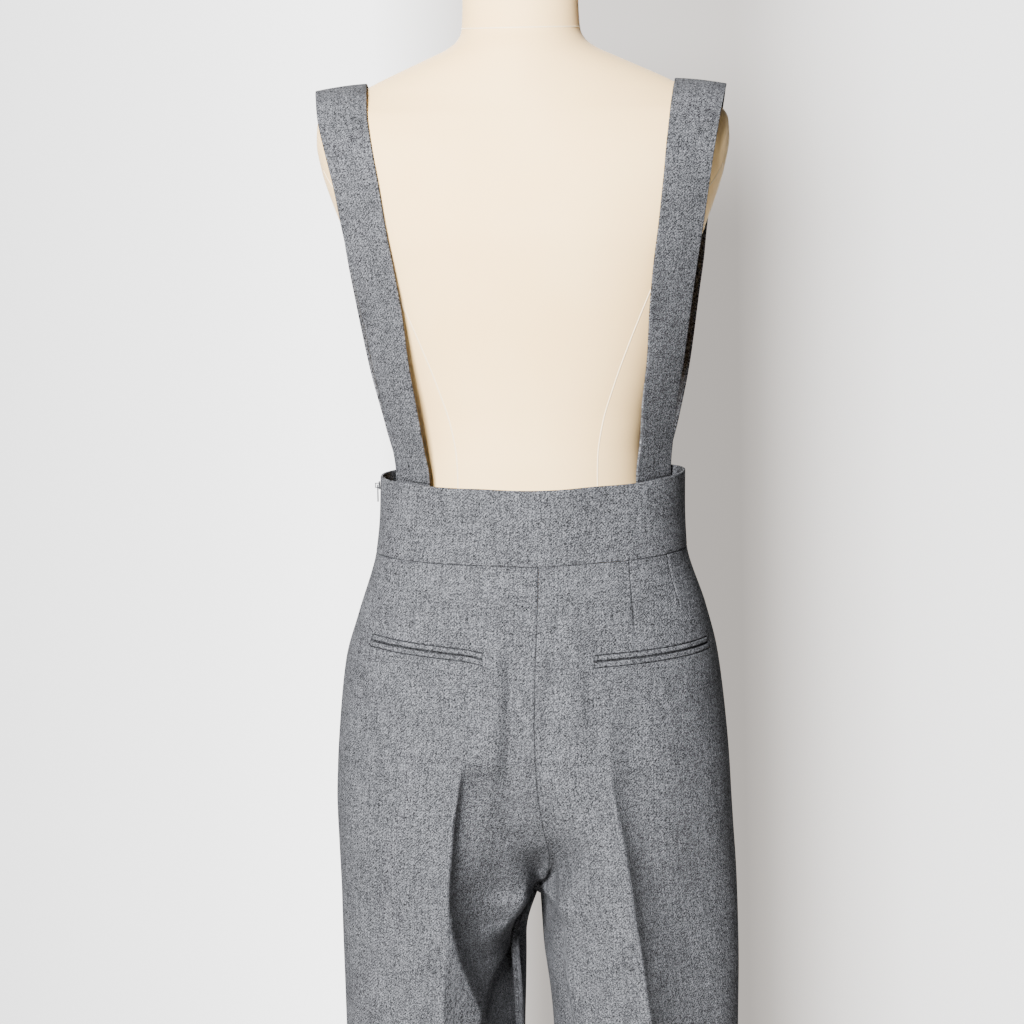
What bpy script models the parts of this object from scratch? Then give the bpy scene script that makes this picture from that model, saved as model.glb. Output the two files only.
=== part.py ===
"""Wide-leg suspender trousers worn by a limbless dress form on a round-base stand.

Metres, +Z up, the origin on the floor under the middle of the base. The garment faces -Y and its
back faces +Y, so +X is the wearer's left. The tables are in millimetres and are scaled as each
mesh is made.
"""

import math

import bmesh
import bpy
import numpy as np
from mathutils import Matrix

MM = 0.001
NORMAL_STEP = 0.01  # step along a panel that its normals are measured over

# Cloth and the gaps at its seams, in millimetres.
PANEL_WALL = 1.5
BAND_WALL = 2.4
STRAP_WALL = 2.2
WELT_WALL = 1.2
SEAM_GAP = 0.3
SEAM_ALLOWANCE = 2.6  # flat strip beside each seam
FORK_EASE = 1.1  # how far each panel's corner stands off the point where the four seams meet

# Straps and pockets, in millimetres.
STRAP_WIDTH = 46.0
WELT_HEIGHT = 4.6
WELT_PITCH = 6.0
WELT_GAP = 0.45  # from the panel to the welts on it
ROW_HEIGHT = 42.0  # between two rows of the guide lines at the pockets

# Stand, in millimetres.
BASE_RADIUS = 190.0
BASE_HEIGHT = 6.0
BASE_EDGE = 2.0
POLE_RADIUS = 12.5
POLE_X = -97.0
COLLAR_RADIUS = 32.0
COLLAR_HEIGHT = 30.0
SOCKET_HEIGHT = 6.0
CAP_RADIUS = 50.5
CAP_HEIGHT = 12.0
CAP_EDGE = 3.5

# Zip pull, in millimetres.
PULL_HINGE_Z = 1137.0
PULL_STANDOFF = 2.6  # from the cloth to the hinge axis
PULL_LENGTH = 15.5
PULL_WIDTH = 5.4
PULL_WALL = 1.0
SLIDER_PLATE = (1.2, 4.8, 7.0)  # thickness, width and height
SLIDER_LIFT = 0.15  # how much further from the cloth than a seam gap
ARCH_WIDTH = 1.4

# The garment is drawn over guide lines that run from the band's top down to the hem. Each table
# has one row for each section, at the band's top, middle and foot, then hip, seat, thigh, the
# curve under the body to the fork, and the leg down to the hem.
BAND_TOP, BAND_FOOT, FORK, HEM = 0, 2, 10, 15

# Side seams: x, y, z.
SIDE_LEFT = (
    (133.0, 7.0, 1146.0),
    (134.5, 7.0, 1112.0),
    (138.5, 7.0, 1077.7),
    (155.5, 7.0, 1023.0),
    (168.0, 7.0, 981.0),
    (175.0, 6.0, 925.0),
    (178.2, 5.0, 885.0),
    (179.6, 4.0, 850.0),
    (179.0, 3.0, 818.0),
    (178.3, 2.0, 790.0),
    (177.8, 0.0, 767.0),
    (177.6, 0.0, 738.0),
    (177.3, 0.0, 700.0),
    (176.7, 0.0, 640.0),
    (174.0, 0.0, 380.0),
    (170.0, 0.0, 60.0),
)
SIDE_RIGHT = (
    (-140.5, -7.0, 1146.0),
    (-140.0, -7.0, 1112.0),
    (-141.0, -7.0, 1077.7),
    (-157.5, -7.0, 1023.0),
    (-167.5, -7.0, 981.0),
    (-174.0, -6.0, 925.0),
    (-177.0, -5.0, 885.0),
    (-178.6, -4.0, 850.0),
    (-180.2, -3.0, 818.0),
    (-181.8, -2.0, 790.0),
    (-182.6, 0.0, 767.0),
    (-183.2, 0.0, 738.0),
    (-183.5, 0.0, 700.0),
    (-182.4, 0.0, 640.0),
    (-178.0, 0.0, 380.0),
    (-172.0, 0.0, 60.0),
)

# Pressed creases of the legs, and above them the fullest line of the hip: x, y, z.
BACK_CREASE_LEFT = (
    (52.0, 87.0, 1142.0),
    (53.0, 87.0, 1108.5),
    (55.0, 88.0, 1075.0),
    (57.0, 98.0, 1022.0),
    (58.0, 106.5, 980.0),
    (60.0, 113.0, 925.0),
    (64.0, 117.0, 886.0),
    (69.0, 119.5, 851.0),
    (73.0, 120.5, 818.0),
    (76.0, 121.0, 790.0),
    (77.5, 121.0, 767.0),
    (79.5, 120.5, 738.0),
    (81.5, 119.5, 700.0),
    (84.0, 118.0, 640.0),
    (92.0, 112.0, 380.0),
    (96.0, 108.0, 60.0),
)
BACK_CREASE_RIGHT = (
    (-72.0, 80.0, 1142.0),
    (-72.0, 80.0, 1108.5),
    (-71.0, 83.0, 1075.0),
    (-70.0, 95.0, 1022.0),
    (-69.0, 104.0, 980.0),
    (-67.0, 112.5, 925.0),
    (-69.5, 117.0, 886.0),
    (-75.0, 119.5, 851.0),
    (-80.0, 120.5, 818.0),
    (-84.0, 121.0, 790.0),
    (-87.0, 121.0, 767.0),
    (-91.5, 120.5, 738.0),
    (-96.5, 119.5, 700.0),
    (-101.5, 118.0, 640.0),
    (-103.0, 112.0, 380.0),
    (-100.0, 108.0, 60.0),
)
FRONT_CREASE = (
    (66.0, -81.0, 1145.0),
    (66.0, -81.0, 1111.5),
    (67.0, -83.0, 1077.5),
    (70.0, -92.0, 1023.0),
    (73.0, -99.0, 981.0),
    (77.0, -105.0, 925.0),
    (80.0, -109.0, 885.0),
    (82.0, -111.5, 851.0),
    (84.0, -113.0, 818.0),
    (86.0, -114.0, 790.0),
    (87.5, -114.5, 767.0),
    (89.5, -114.5, 738.0),
    (91.5, -114.0, 700.0),
    (93.0, -113.0, 640.0),
    (97.0, -109.0, 380.0),
    (98.0, -106.0, 60.0),
)

# Seam down the middle of the back and under to the fork, and the same down the front: x, y, z.
SEAT_SEAM = (
    (-9.5, 97.0, 1140.5),
    (-9.0, 97.5, 1107.0),
    (-8.5, 98.0, 1073.7),
    (-6.5, 108.0, 1020.0),
    (-4.0, 115.0, 980.0),
    (-2.8, 119.5, 925.0),
    (-3.8, 118.5, 886.0),
    (-8.0, 106.0, 843.0),
    (-13.0, 70.0, 806.0),
    (-7.0, 32.0, 779.0),
    (1.0, 0.0, 768.0),
)
FLY_SEAM = (
    (4.0, -96.0, 1146.0),
    (4.0, -96.5, 1112.0),
    (4.0, -97.0, 1077.7),
    (3.5, -103.0, 1023.0),
    (3.0, -106.5, 981.0),
    (2.0, -107.0, 925.0),
    (2.0, -104.0, 886.0),
    (2.0, -93.0, 845.0),
    (2.0, -62.0, 808.0),
    (1.5, -28.0, 780.0),
    (1.0, 0.0, 768.0),
)

# Inner leg seams from the fork down: x, y, z.
INSEAM_LEFT = (
    (5.0, 0.0, 758.0),
    (21.0, 0.0, 714.0),
    (18.0, 0.0, 643.0),
    (19.0, 0.0, 380.0),
    (24.0, 0.0, 60.0),
)
INSEAM_RIGHT = (
    (-7.0, 0.0, 756.0),
    (-7.5, 0.0, 712.0),
    (-13.5, 0.0, 643.0),
    (-20.0, 0.0, 380.0),
    (-26.0, 0.0, 60.0),
)

# How a section leaves the crease line: the slope on its outer side, the slope on its inner side
# (below zero while the seat still rises towards the middle), how full the inner side is, the
# turn of the surface at the inner seam from 0 across the body to 90 front to back, and the bulge
# beside that seam towards the other leg.
BACK_SHAPE_LEFT = (
    (0.36, -0.30, 0.35, 0.0, 0.0),
    (0.36, -0.30, 0.35, 0.0, 0.0),
    (0.34, -0.28, 0.35, 0.0, 0.0),
    (0.29, -0.26, 0.35, 0.0, 0.0),
    (0.28, -0.22, 0.35, 0.0, 0.0),
    (0.34, -0.16, 0.35, 0.0, 0.0),
    (0.44, -0.02, 0.45, 0.0, 0.0),
    (0.52, 0.10, 0.62, 8.0, 0.0),
    (0.58, 0.16, 0.78, 30.0, 0.0),
    (0.62, 0.18, 0.92, 62.0, 0.0),
    (0.64, 0.22, 0.92, 82.0, 0.0),
    (0.66, 0.36, 0.86, 90.0, -4.0),
    (0.66, 0.55, 0.64, 90.0, -8.0),
    (0.65, 0.60, 0.52, 90.0, -8.0),
    (0.62, 0.58, 0.54, 90.0, 0.0),
    (0.60, 0.60, 0.55, 90.0, 0.0),
)
BACK_SHAPE_RIGHT = BACK_SHAPE_LEFT[:7] + (
    (0.60, 0.10, 0.62, 8.0, 0.0),
    (0.72, 0.18, 0.78, 26.0, 0.0),
    (0.80, 0.25, 0.90, 62.0, 0.0),
    (0.84, 0.30, 0.90, 80.0, -8.0),
    (0.86, 0.34, 0.84, 90.0, -6.0),
    (0.86, 0.37, 0.78, 90.0, -2.0),
    (0.84, 0.42, 0.72, 90.0, 0.0),
    (0.72, 0.55, 0.58, 90.0, 0.0),
    (0.62, 0.60, 0.55, 90.0, 0.0),
)
FRONT_SHAPE_LEFT = (
    (0.30, -0.27, 0.35, 0.0, 0.0),
    (0.30, -0.27, 0.35, 0.0, 0.0),
    (0.30, -0.25, 0.35, 0.0, 0.0),
    (0.28, -0.19, 0.35, 0.0, 0.0),
    (0.27, -0.12, 0.35, 0.0, 0.0),
    (0.30, -0.02, 0.40, 0.0, 0.0),
    (0.34, 0.06, 0.50, 0.0, 0.0),
    (0.38, 0.14, 0.62, 0.0, 0.0),
    (0.42, 0.22, 0.78, 0.0, 0.0),
    (0.44, 0.28, 0.88, 0.0, 0.0),
    (0.46, 0.32, 0.90, 45.0, 8.0),
    (0.48, 0.36, 0.88, 90.0, 20.0),
    (0.50, 0.40, 0.86, 90.0, 30.0),
    (0.52, 0.44, 0.80, 90.0, 20.0),
    (0.56, 0.56, 0.60, 90.0, 4.0),
    (0.60, 0.60, 0.55, 90.0, 0.0),
)
FRONT_SHAPE_RIGHT = FRONT_SHAPE_LEFT[:10] + (
    (0.46, 0.32, 0.90, 45.0, 10.0),
    (0.48, 0.36, 0.88, 90.0, 16.0),
    (0.50, 0.40, 0.84, 90.0, 12.0),
    (0.52, 0.44, 0.76, 90.0, 6.0),
    (0.56, 0.56, 0.60, 90.0, 2.0),
    (0.60, 0.60, 0.55, 90.0, 0.0),
)

# Soft folds of the back, one table for each, from the top down: z, x, the height (below zero for
# a trough), and its reach to the wearer's left and right.
BACK_FOLDS = (
    (  # trough left of the seat seam
        (1040.0, 20.0, 0.0, 16.0, 10.0),
        (1000.0, 23.0, -4.0, 17.0, 9.0),
        (930.0, 26.5, -5.5, 19.0, 9.0),
        (890.0, 32.0, -3.5, 20.0, 10.0),
        (850.0, 40.0, 0.0, 22.0, 12.0),
    ),
    (  # trough right of the seat seam
        (1035.0, -21.0, 0.0, 11.0, 12.0),
        (984.0, -21.0, -4.5, 11.0, 12.0),
        (925.0, -14.0, -2.0, 11.0, 12.0),
        (895.0, -12.0, 0.0, 11.0, 12.0),
    ),
    (  # left leg, outer fold
        (800.0, 126.0, 0.0, 22.0, 22.0),
        (700.0, 129.0, -2.2, 22.0, 20.0),
        (560.0, 132.0, -3.0, 20.0, 18.0),
        (400.0, 134.0, -2.4, 22.0, 20.0),
        (200.0, 134.0, 0.0, 22.0, 22.0),
    ),
    (  # right leg, outer fold
        (880.0, -128.0, 0.0, 20.0, 22.0),
        (800.0, -131.0, -2.0, 20.0, 22.0),
        (660.0, -138.0, -3.0, 18.0, 22.0),
        (460.0, -142.0, -2.6, 18.0, 22.0),
        (240.0, -140.0, 0.0, 20.0, 22.0),
    ),
    (  # right leg, inner fold
        (820.0, -40.0, 0.0, 14.0, 14.0),
        (740.0, -46.0, -2.2, 14.0, 14.0),
        (600.0, -54.0, -3.0, 14.0, 14.0),
        (440.0, -58.0, -1.8, 14.0, 14.0),
        (300.0, -60.0, 0.0, 14.0, 14.0),
    ),
)

# The cloth that hangs from the fork across the back of the left thigh: it drops away close inside
# the crease, a line that then leaves the crease, and it ends in a ridge where the leg turns
# under. Each row has z, the x of that line, the drop and its reach, the x of the ridge, and the
# drop past it.
SWAG = (
    (912.0, 59.0, 0.0, 14.0, -20.0, 0.0),
    (880.0, 63.5, 4.0, 14.0, -20.0, 0.0),
    (850.0, 68.5, 8.0, 18.0, -20.0, 0.0),
    (820.0, 72.5, 12.0, 24.0, -14.0, 0.0),
    (796.0, 74.0, 15.0, 32.0, -8.0, 1.0),
    (775.0, 73.5, 17.0, 38.0, 8.0, 4.0),
    (750.0, 71.0, 17.0, 38.0, 20.0, 10.0),
    (725.0, 66.5, 15.0, 34.0, 31.0, 14.0),
    (706.0, 61.0, 13.0, 28.0, 41.0, 14.0),
    (663.0, 48.0, 8.0, 22.0, 52.0, 10.0),
    (620.0, 39.0, 3.0, 22.0, 52.0, 4.0),
    (560.0, 34.0, 0.0, 22.0, 52.0, 0.0),
)
DROP_EDGE = 9.0
CHEEK = 0.25  # how much fuller the left leg is beside the fork, about one row of the guide lines
CHEEK_ROW = 10.5
CHEEK_ROWS = 1.8
RIDGE_WIDTH = 10.0
RETURN_START = 38.0  # x where the swag starts to fill out again towards the fork
RETURN_REACH = 40.0

# Straps, for the wearer's left: x, y, z of the middle of the inner face, the yaw of the face
# from square to the back (positive) through the shoulder's top to the front (negative), its
# droop outwards, and how far both straps shift to the wearer's left.
STRAP_PATH = (
    (106.0, 44.0, 1108.0, 47.0, 0.0, -4.5),
    (106.0, 44.5, 1146.0, 48.0, 0.0, -4.5),
    (109.5, 47.5, 1178.0, 50.0, 0.0, -4.0),
    (114.5, 52.5, 1214.0, 47.0, 0.0, -2.5),
    (120.4, 58.0, 1250.0, 44.0, 0.0, -2.0),
    (126.5, 64.5, 1300.0, 37.0, 0.0, -1.0),
    (131.7, 68.5, 1334.0, 34.0, 0.0, 0.0),
    (137.8, 71.5, 1370.0, 31.0, 0.0, 0.5),
    (143.5, 70.5, 1408.0, 27.0, 1.0, 1.0),
    (148.5, 64.0, 1437.0, 22.0, 3.0, 2.0),
    (153.5, 50.0, 1463.0, 16.0, 5.0, 2.5),
    (157.0, 27.0, 1483.5, 8.0, 6.5, 1.5),
    (159.0, 0.0, 1490.8, 0.0, 7.0, 1.0),
    (159.0, -27.0, 1483.5, -8.0, 6.5, 1.0),
    (157.0, -47.5, 1463.0, -16.0, 5.0, 1.0),
    (154.0, -60.0, 1437.0, -22.0, 3.0, 1.0),
    (150.5, -67.5, 1408.0, -28.0, 1.0, 1.0),
    (146.0, -69.8, 1361.0, -35.0, 0.0, 1.0),
    (143.0, -66.5, 1334.0, -38.0, 0.0, 0.5),
    (138.5, -60.5, 1303.0, -42.0, 0.0, 0.0),
    (128.5, -53.0, 1240.0, -46.0, 0.0, -1.5),
    (116.5, -47.5, 1188.0, -48.0, 0.0, -2.5),
    (107.5, -43.5, 1146.0, -50.0, 0.0, -2.5),
    (106.5, -43.0, 1108.0, -50.0, 0.0, -2.5),
)

# Double-welt pockets: panel coordinates of their ends, along the panel (1 is the crease line)
# and down the guide lines.
POCKETS = {
    "left": {"outer": (0.375, 3.42), "inner": (1.262, 3.66)},
    "right": {"outer": (0.225, 3.70), "inner": (1.193, 3.76)},
}

# Dress form: z, half width, depth of the back, depth of the front, and the power of the
# superellipse (2 is an ellipse, more is squarer).
FORM_SECTIONS = (
    (1590.0, 51.0, 42.0, 62.0, 2.0),
    (1562.0, 51.3, 46.0, 60.0, 2.0),
    (1540.0, 52.5, 51.0, 58.0, 2.0),
    (1531.0, 56.5, 56.0, 58.0, 2.0),
    (1524.0, 65.0, 60.0, 58.0, 1.9),
    (1516.0, 82.0, 63.0, 58.0, 1.75),
    (1507.0, 102.0, 66.0, 59.0, 1.65),
    (1497.5, 123.0, 69.0, 61.0, 1.6),
    (1487.0, 144.0, 73.0, 65.0, 1.6),
    (1476.5, 164.0, 77.0, 70.0, 1.7),
    (1468.0, 177.0, 81.0, 75.0, 1.85),
    (1458.0, 182.3, 85.0, 80.0, 2.0),
    (1442.0, 183.0, 91.0, 88.0, 2.25),
    (1417.0, 178.5, 97.0, 97.0, 2.4),
    (1390.0, 170.0, 101.0, 107.0, 2.4),
    (1362.0, 159.5, 103.0, 117.0, 2.4),
    (1330.0, 149.0, 101.0, 125.0, 2.3),
    (1300.0, 140.0, 97.0, 128.0, 2.25),
    (1265.0, 128.5, 91.0, 120.0, 2.2),
    (1230.0, 116.5, 85.0, 105.0, 2.15),
    (1195.0, 107.0, 80.0, 93.0, 2.1),
    (1165.0, 102.5, 78.0, 87.0, 2.1),
    (1140.0, 102.0, 78.0, 85.0, 2.1),
    (1105.0, 107.0, 82.0, 87.0, 2.1),
    (1070.0, 119.0, 88.0, 89.0, 2.1),
    (1030.0, 135.0, 95.0, 91.0, 2.15),
    (985.0, 148.0, 102.0, 92.0, 2.25),
    (940.0, 154.0, 105.0, 91.0, 2.3),
    (900.0, 153.0, 101.0, 87.0, 2.3),
    (876.0, 148.0, 93.0, 82.0, 2.3),
    (860.0, 140.0, 84.0, 76.0, 2.3),
    (851.0, 130.0, 75.0, 69.0, 2.3),
    (847.0, 118.0, 66.0, 61.0, 2.3),
)


def new_collection(name):
    collection = bpy.data.collections.new(name)
    bpy.context.scene.collection.children.link(collection)
    return collection


def make_material(name, colour, roughness, metallic=0.0):
    material = bpy.data.materials.new(name)
    material.use_nodes = True
    shader = material.node_tree.nodes["Principled BSDF"]
    shader.inputs["Base Color"].default_value = (*colour, 1.0)
    shader.inputs["Roughness"].default_value = roughness
    shader.inputs["Metallic"].default_value = metallic
    material.diffuse_color = (*colour, 1.0)
    return material


def add_mesh(name, mesh, material, collection, sharp=math.radians(40.0)):
    """An object for one sub-part, shaded smooth but for its sharp edges."""
    mesh.materials.append(material)
    mesh.shade_smooth()
    mesh.set_sharp_from_angle(angle=sharp)
    part = bpy.data.objects.new(name, mesh)
    collection.objects.link(part)
    return part


def smooth(table, rows):
    """Monotone cubic curve through a table, read at fractional row numbers."""
    table = np.asarray(table, float)
    steps = np.diff(table, axis=0)
    product = steps[:-1] * steps[1:]
    total = np.where(product > 0, steps[:-1] + steps[1:], 1.0)
    slopes = np.vstack([steps[:1], np.where(product > 0, 2 * product / total, 0.0), steps[-1:]])
    row = np.clip(rows.astype(int), 0, len(table) - 2)
    t = (rows - row)[:, None]
    start = table[row] * (1 + 2 * t) * (1 - t) ** 2 + slopes[row] * t * (1 - t) ** 2
    return start + table[row + 1] * t**2 * (3 - 2 * t) + slopes[row + 1] * t**2 * (t - 1)


def bezier(a, b, c, d, t):
    t = t[:, None]
    return a * (1 - t) ** 3 + 3 * b * t * (1 - t) ** 2 + 3 * c * t**2 * (1 - t) + d * t**3


def bell(distance, reach):
    return np.exp(-((distance / reach) ** 2))


def ramp(value):
    """Smooth step from 0 to 1."""
    value = np.clip(value, 0, 1)
    return value * value * (3 - 2 * value)


def read_rows(table, z):
    """The columns of a table whose rows fall in z, read between the rows."""
    rows = np.array(table[::-1], float)
    return [np.interp(z, rows[:, 0], column) for column in rows.T[1:]]


def back_folds(x, z):
    """How far the soft folds stand out behind the back panels at (x, z)."""
    height = np.zeros_like(x)
    for table in BACK_FOLDS:
        path, rise, reach_left, reach_right = read_rows(table, z)
        height += rise * bell(x - path, np.where(x > path, reach_left, reach_right))
    return height


def swag_height(x, z):
    """The hollow and the ridge of the swag on the left back panel at (x, z)."""
    line, depth, reach, ridge, drop = read_rows(SWAG, z)
    inward = line - x
    sunk = 0.4 * ramp(inward / DROP_EDGE) + 0.6 * (1 - (1 - np.clip(inward / reach, 0, 1)) ** 3)
    sunk *= 1 - 0.8 * ramp((RETURN_START - x) / RETURN_REACH)
    return -depth * sunk - drop * ramp((ridge - x) / RIDGE_WIDTH)


def mirrored(table):
    return np.asarray(table, float) * (-1.0, 1.0, 1.0)


FRONT_CREASE_RIGHT = mirrored(FRONT_CREASE)
SEAT_LEFT = SEAT_SEAM + INSEAM_LEFT
SEAT_RIGHT = SEAT_SEAM + INSEAM_RIGHT
FLY_LEFT = FLY_SEAM + INSEAM_LEFT
FLY_RIGHT = FLY_SEAM + INSEAM_RIGHT
LINES = {
    ("back", "left"): (SIDE_LEFT, BACK_CREASE_LEFT, SEAT_LEFT, BACK_SHAPE_LEFT),
    ("back", "right"): (SIDE_RIGHT, BACK_CREASE_RIGHT, SEAT_RIGHT, BACK_SHAPE_RIGHT),
    ("front", "left"): (SIDE_LEFT, FRONT_CREASE, FLY_LEFT, FRONT_SHAPE_LEFT),
    ("front", "right"): (SIDE_RIGHT, FRONT_CREASE_RIGHT, FLY_RIGHT, FRONT_SHAPE_RIGHT),
}


def directions(face, side):
    """+1 or -1 for the way out from the middle, and for the way out from the body's depth."""
    return (1.0 if side == "left" else -1.0), (1.0 if face == "back" else -1.0)


def seam_points(face, side, down):
    """Both long edges of a panel, half a seam gap from the seam lines and a little more where
    the four seams meet at the fork."""
    outward, depth = directions(face, side)
    seam, _, inner, _ = (smooth(line, down) for line in LINES[face, side])
    half = SEAM_GAP / 2
    ease = half + (FORK_EASE - half) * bell(down - FORK, 0.45)
    side_edge = seam + np.array([0.0, depth * half, 0.0])
    inner_edge = inner.copy()
    inner_edge[:, 0] += np.where(down <= FORK, outward * ease, 0.0)
    inner_edge[:, 1] += np.where(down >= FORK, depth * ease, 0.0)
    return side_edge, inner_edge


def section_points(face, side, across, down):
    """Points of one quarter of the garment: across runs 0 to 1 from the side seam to the crease
    line and 1 to 2 from there to the inner seam, and down is a row of the guide lines."""
    outward, depth = directions(face, side)
    side_edge, inner_edge = seam_points(face, side, down)
    crease, shape = (smooth(line, down) for line in LINES[face, side][1::2])
    outer_slope, inner_slope, fullness, turn, bulge = shape.T
    turn = np.radians(turn)
    flat = np.zeros_like(turn)
    reach_out = abs(side_edge[:, 0] - crease[:, 0])
    reach_in = abs(crease[:, 0] - inner_edge[:, 0])
    reach_deep = abs(crease[:, 1] - inner_edge[:, 1])
    run_out = 0.5 * reach_out
    run_in = fullness * reach_in
    across_run = 0.45 * reach_in * np.cos(turn) - bulge
    cheek = CHEEK * bell(down - CHEEK_ROW, CHEEK_ROWS) * ((face, side) == ("back", "left"))
    deep_run = (0.60 + cheek) * reach_deep * np.sin(turn)
    side_handle = side_edge + np.stack([flat, 0.55 * (crease[:, 1] - side_edge[:, 1]), flat], -1)
    outer_handle = crease + np.stack([outward * run_out, -depth * outer_slope * run_out, flat], -1)
    crease_handle = crease + np.stack([-outward * run_in, -depth * inner_slope * run_in, flat], -1)
    inner_handle = inner_edge + np.stack([outward * across_run, depth * deep_run, flat], -1)
    outer = bezier(side_edge, side_handle, outer_handle, crease, np.clip(across, 0, 1))
    inner = bezier(crease, crease_handle, inner_handle, inner_edge, np.clip(across - 1, 0, 1))
    return np.where(across[:, None] <= 1, outer, inner)


def panel_surface(face, side, across, down):
    """Section points moved out by the soft folds, which fade out at the side and inner leg seams."""
    points = section_points(face, side, across, down)
    if face == "front":
        return points
    ahead = section_points(face, side, np.minimum(across + NORMAL_STEP, 2.0), down)
    behind = section_points(face, side, np.maximum(across - NORMAL_STEP, 0.0), down)
    normal = np.cross(ahead - behind, (0.0, 0.0, 1.0))
    normal *= directions(face, side)[0]
    normal /= np.linalg.norm(normal, axis=1, keepdims=True)
    side_fade = np.clip(across / 0.3, 0, 1)
    seam_fade = 1 - np.clip(across - 1, 0, 1) ** 5 * np.clip(down - FORK + 3.5, 0, 1)
    height = back_folds(points[:, 0], points[:, 2]) * side_fade * seam_fade
    moved = points + normal * height[:, None]
    if side == "left":
        moved[:, 1] += swag_height(points[:, 0], points[:, 2]) * seam_fade
    return moved


def panel_grid(face, side, columns, rows):
    """A rows by columns grid of a panel, with a narrow flat strip along each long seam."""
    outward, depth = directions(face, side)
    down, across = np.meshgrid(rows, columns, indexing="ij")
    grid = panel_surface(face, side, across.ravel(), down.ravel()).reshape(*down.shape, 3)
    to_crease = np.stack([outward * (rows <= FORK), depth * (rows >= FORK), 0 * rows], -1)
    side_strip = grid[:, 0] + np.array([0.0, depth * SEAM_ALLOWANCE, 0.0])
    seam_strip = grid[:, -1] + to_crease * SEAM_ALLOWANCE
    return np.concatenate(
        [grid[:, :1], side_strip[:, None], grid[:, 1:-1], seam_strip[:, None], grid[:, -1:]], axis=1
    )


def face_outwards(body):
    """Point every face of a closed mesh out of it."""
    bmesh.ops.recalc_face_normals(body, faces=body.faces)
    if body.calc_volume(signed=True) < 0:
        bmesh.ops.reverse_faces(body, faces=body.faces)


def grid_mesh(name, grid, flip=False):
    """An open sheet of quads over a grid of points in millimetres."""
    rows, columns = grid.shape[:2]
    corner = np.arange(rows * columns).reshape(rows, columns)
    quads = np.stack([corner[:-1, :-1], corner[1:, :-1], corner[1:, 1:], corner[:-1, 1:]], -1)
    quads = quads.reshape(-1, 4)
    mesh = bpy.data.meshes.new(name)
    faces = quads[:, ::-1] if flip else quads
    mesh.from_pydata((grid.reshape(-1, 3) * MM).tolist(), [], faces.tolist())
    return mesh


def add_cloth(name, grid, wall, material, collection, flip=False, offset=-1.0):
    """A sheet with Solidify: the grid is the outer face, and the wall grows inwards."""
    part = add_mesh(name, grid_mesh(name, grid, flip), material, collection)
    thicken = part.modifiers.new("Cloth wall", "SOLIDIFY")
    thicken.thickness = wall * MM
    thicken.offset = offset
    thicken.use_even_offset = True
    return part


def panel_columns(outer, inner):
    """Column places, closer together where the section turns at the side."""
    first = np.linspace(0, 1, outer + 1) ** 1.4
    return np.concatenate([first, 1 + np.linspace(0, 1, inner + 1)[1:]])


def panel_rows(steps):
    """Row places in four stretches: the hip, the curve to the fork, the upper leg and the leg."""
    ends = (BAND_FOOT, 6, FORK, 13, HEM)
    parts = [np.linspace(a, b, n + 1)[1:] for a, b, n in zip(ends, ends[1:], steps)]
    return np.concatenate([[BAND_FOOT], *parts])


def add_panels(material, collection):
    steps = {"back": (6, 9, 9, 4), "front": (5, 7, 6, 4)}
    columns = {"back": panel_columns(7, 14), "front": panel_columns(5, 6)}
    for face, side in LINES:
        grid = panel_grid(face, side, columns[face], panel_rows(steps[face]))
        flip = (face == "front") == (side == "left")
        add_cloth(f"{face}_panel_{side}", grid, PANEL_WALL, material, collection, flip)


def add_waistband(face, material, collection):
    """One half of the band, from side seam to side seam, a seam gap above the panels."""
    rows = np.linspace(BAND_TOP, BAND_FOOT, 4)
    left = panel_grid(face, "left", panel_columns(6, 5), rows)
    right = panel_grid(face, "right", panel_columns(6, 5), rows)
    left[:, -1] = (left[:, -1] + right[:, -1]) / 2
    grid = np.concatenate([left, right[:, -2::-1]], axis=1)
    grid[:, :, 2] += SEAM_GAP
    return add_cloth(f"waistband_{face}", grid, BAND_WALL, material, collection, face == "front")


def strap_grid(side, stations, columns):
    """Inner face of one strap: its middle line with the width carried along it."""
    outward = 1.0 if side == "left" else -1.0
    path = smooth(STRAP_PATH, np.linspace(0, len(STRAP_PATH) - 1, stations))
    middle = path[:, :3] * (outward, 1.0, 1.0) + np.outer(path[:, 5], (1.0, 0.0, 0.0))
    yaw, droop = np.radians(path[:, 3:5].T)
    width = np.stack(
        [outward * np.cos(yaw) * np.cos(droop), -np.sin(yaw) * np.cos(droop), -np.sin(droop)], -1
    )
    place = np.linspace(-0.5, 0.5, columns) * STRAP_WIDTH
    return middle[:, None] + place[:, None] * width[:, None]


def add_straps(material, collection):
    for side in ("left", "right"):
        grid = strap_grid(side, 50, 3)
        add_cloth(f"strap_{side}", grid, STRAP_WALL, material, collection, side == "right", 1.0)


def add_pocket_welts(material, collection):
    """Two narrow welts on each back panel, made from the panel's own points."""
    for side, ends in POCKETS.items():
        across = np.linspace(ends["outer"][0], ends["inner"][0], 11)
        middle = np.linspace(ends["outer"][1], ends["inner"][1], 11)
        step = WELT_PITCH / ROW_HEIGHT
        half = WELT_HEIGHT / 2 / ROW_HEIGHT
        for name, shift in (("upper", -step / 2), ("lower", step / 2)):
            down = middle + shift + np.array([[-half], [half]])
            place = np.broadcast_to(across, down.shape)
            points = panel_surface("back", side, place.ravel(), down.ravel())
            grid = points.reshape(*down.shape, 3)
            along = np.gradient(grid, axis=1)
            fall = np.broadcast_to(grid[1:] - grid[:1], grid.shape)
            normal = np.cross(fall, along)
            normal *= np.sign(normal[:, :, 1:2])
            normal /= np.linalg.norm(normal, axis=2, keepdims=True)
            grid = grid + normal * WELT_GAP
            node = f"pocket_welt_{name}_{side}"
            add_cloth(node, grid, WELT_WALL, material, collection, side == "right", 1.0)


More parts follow.
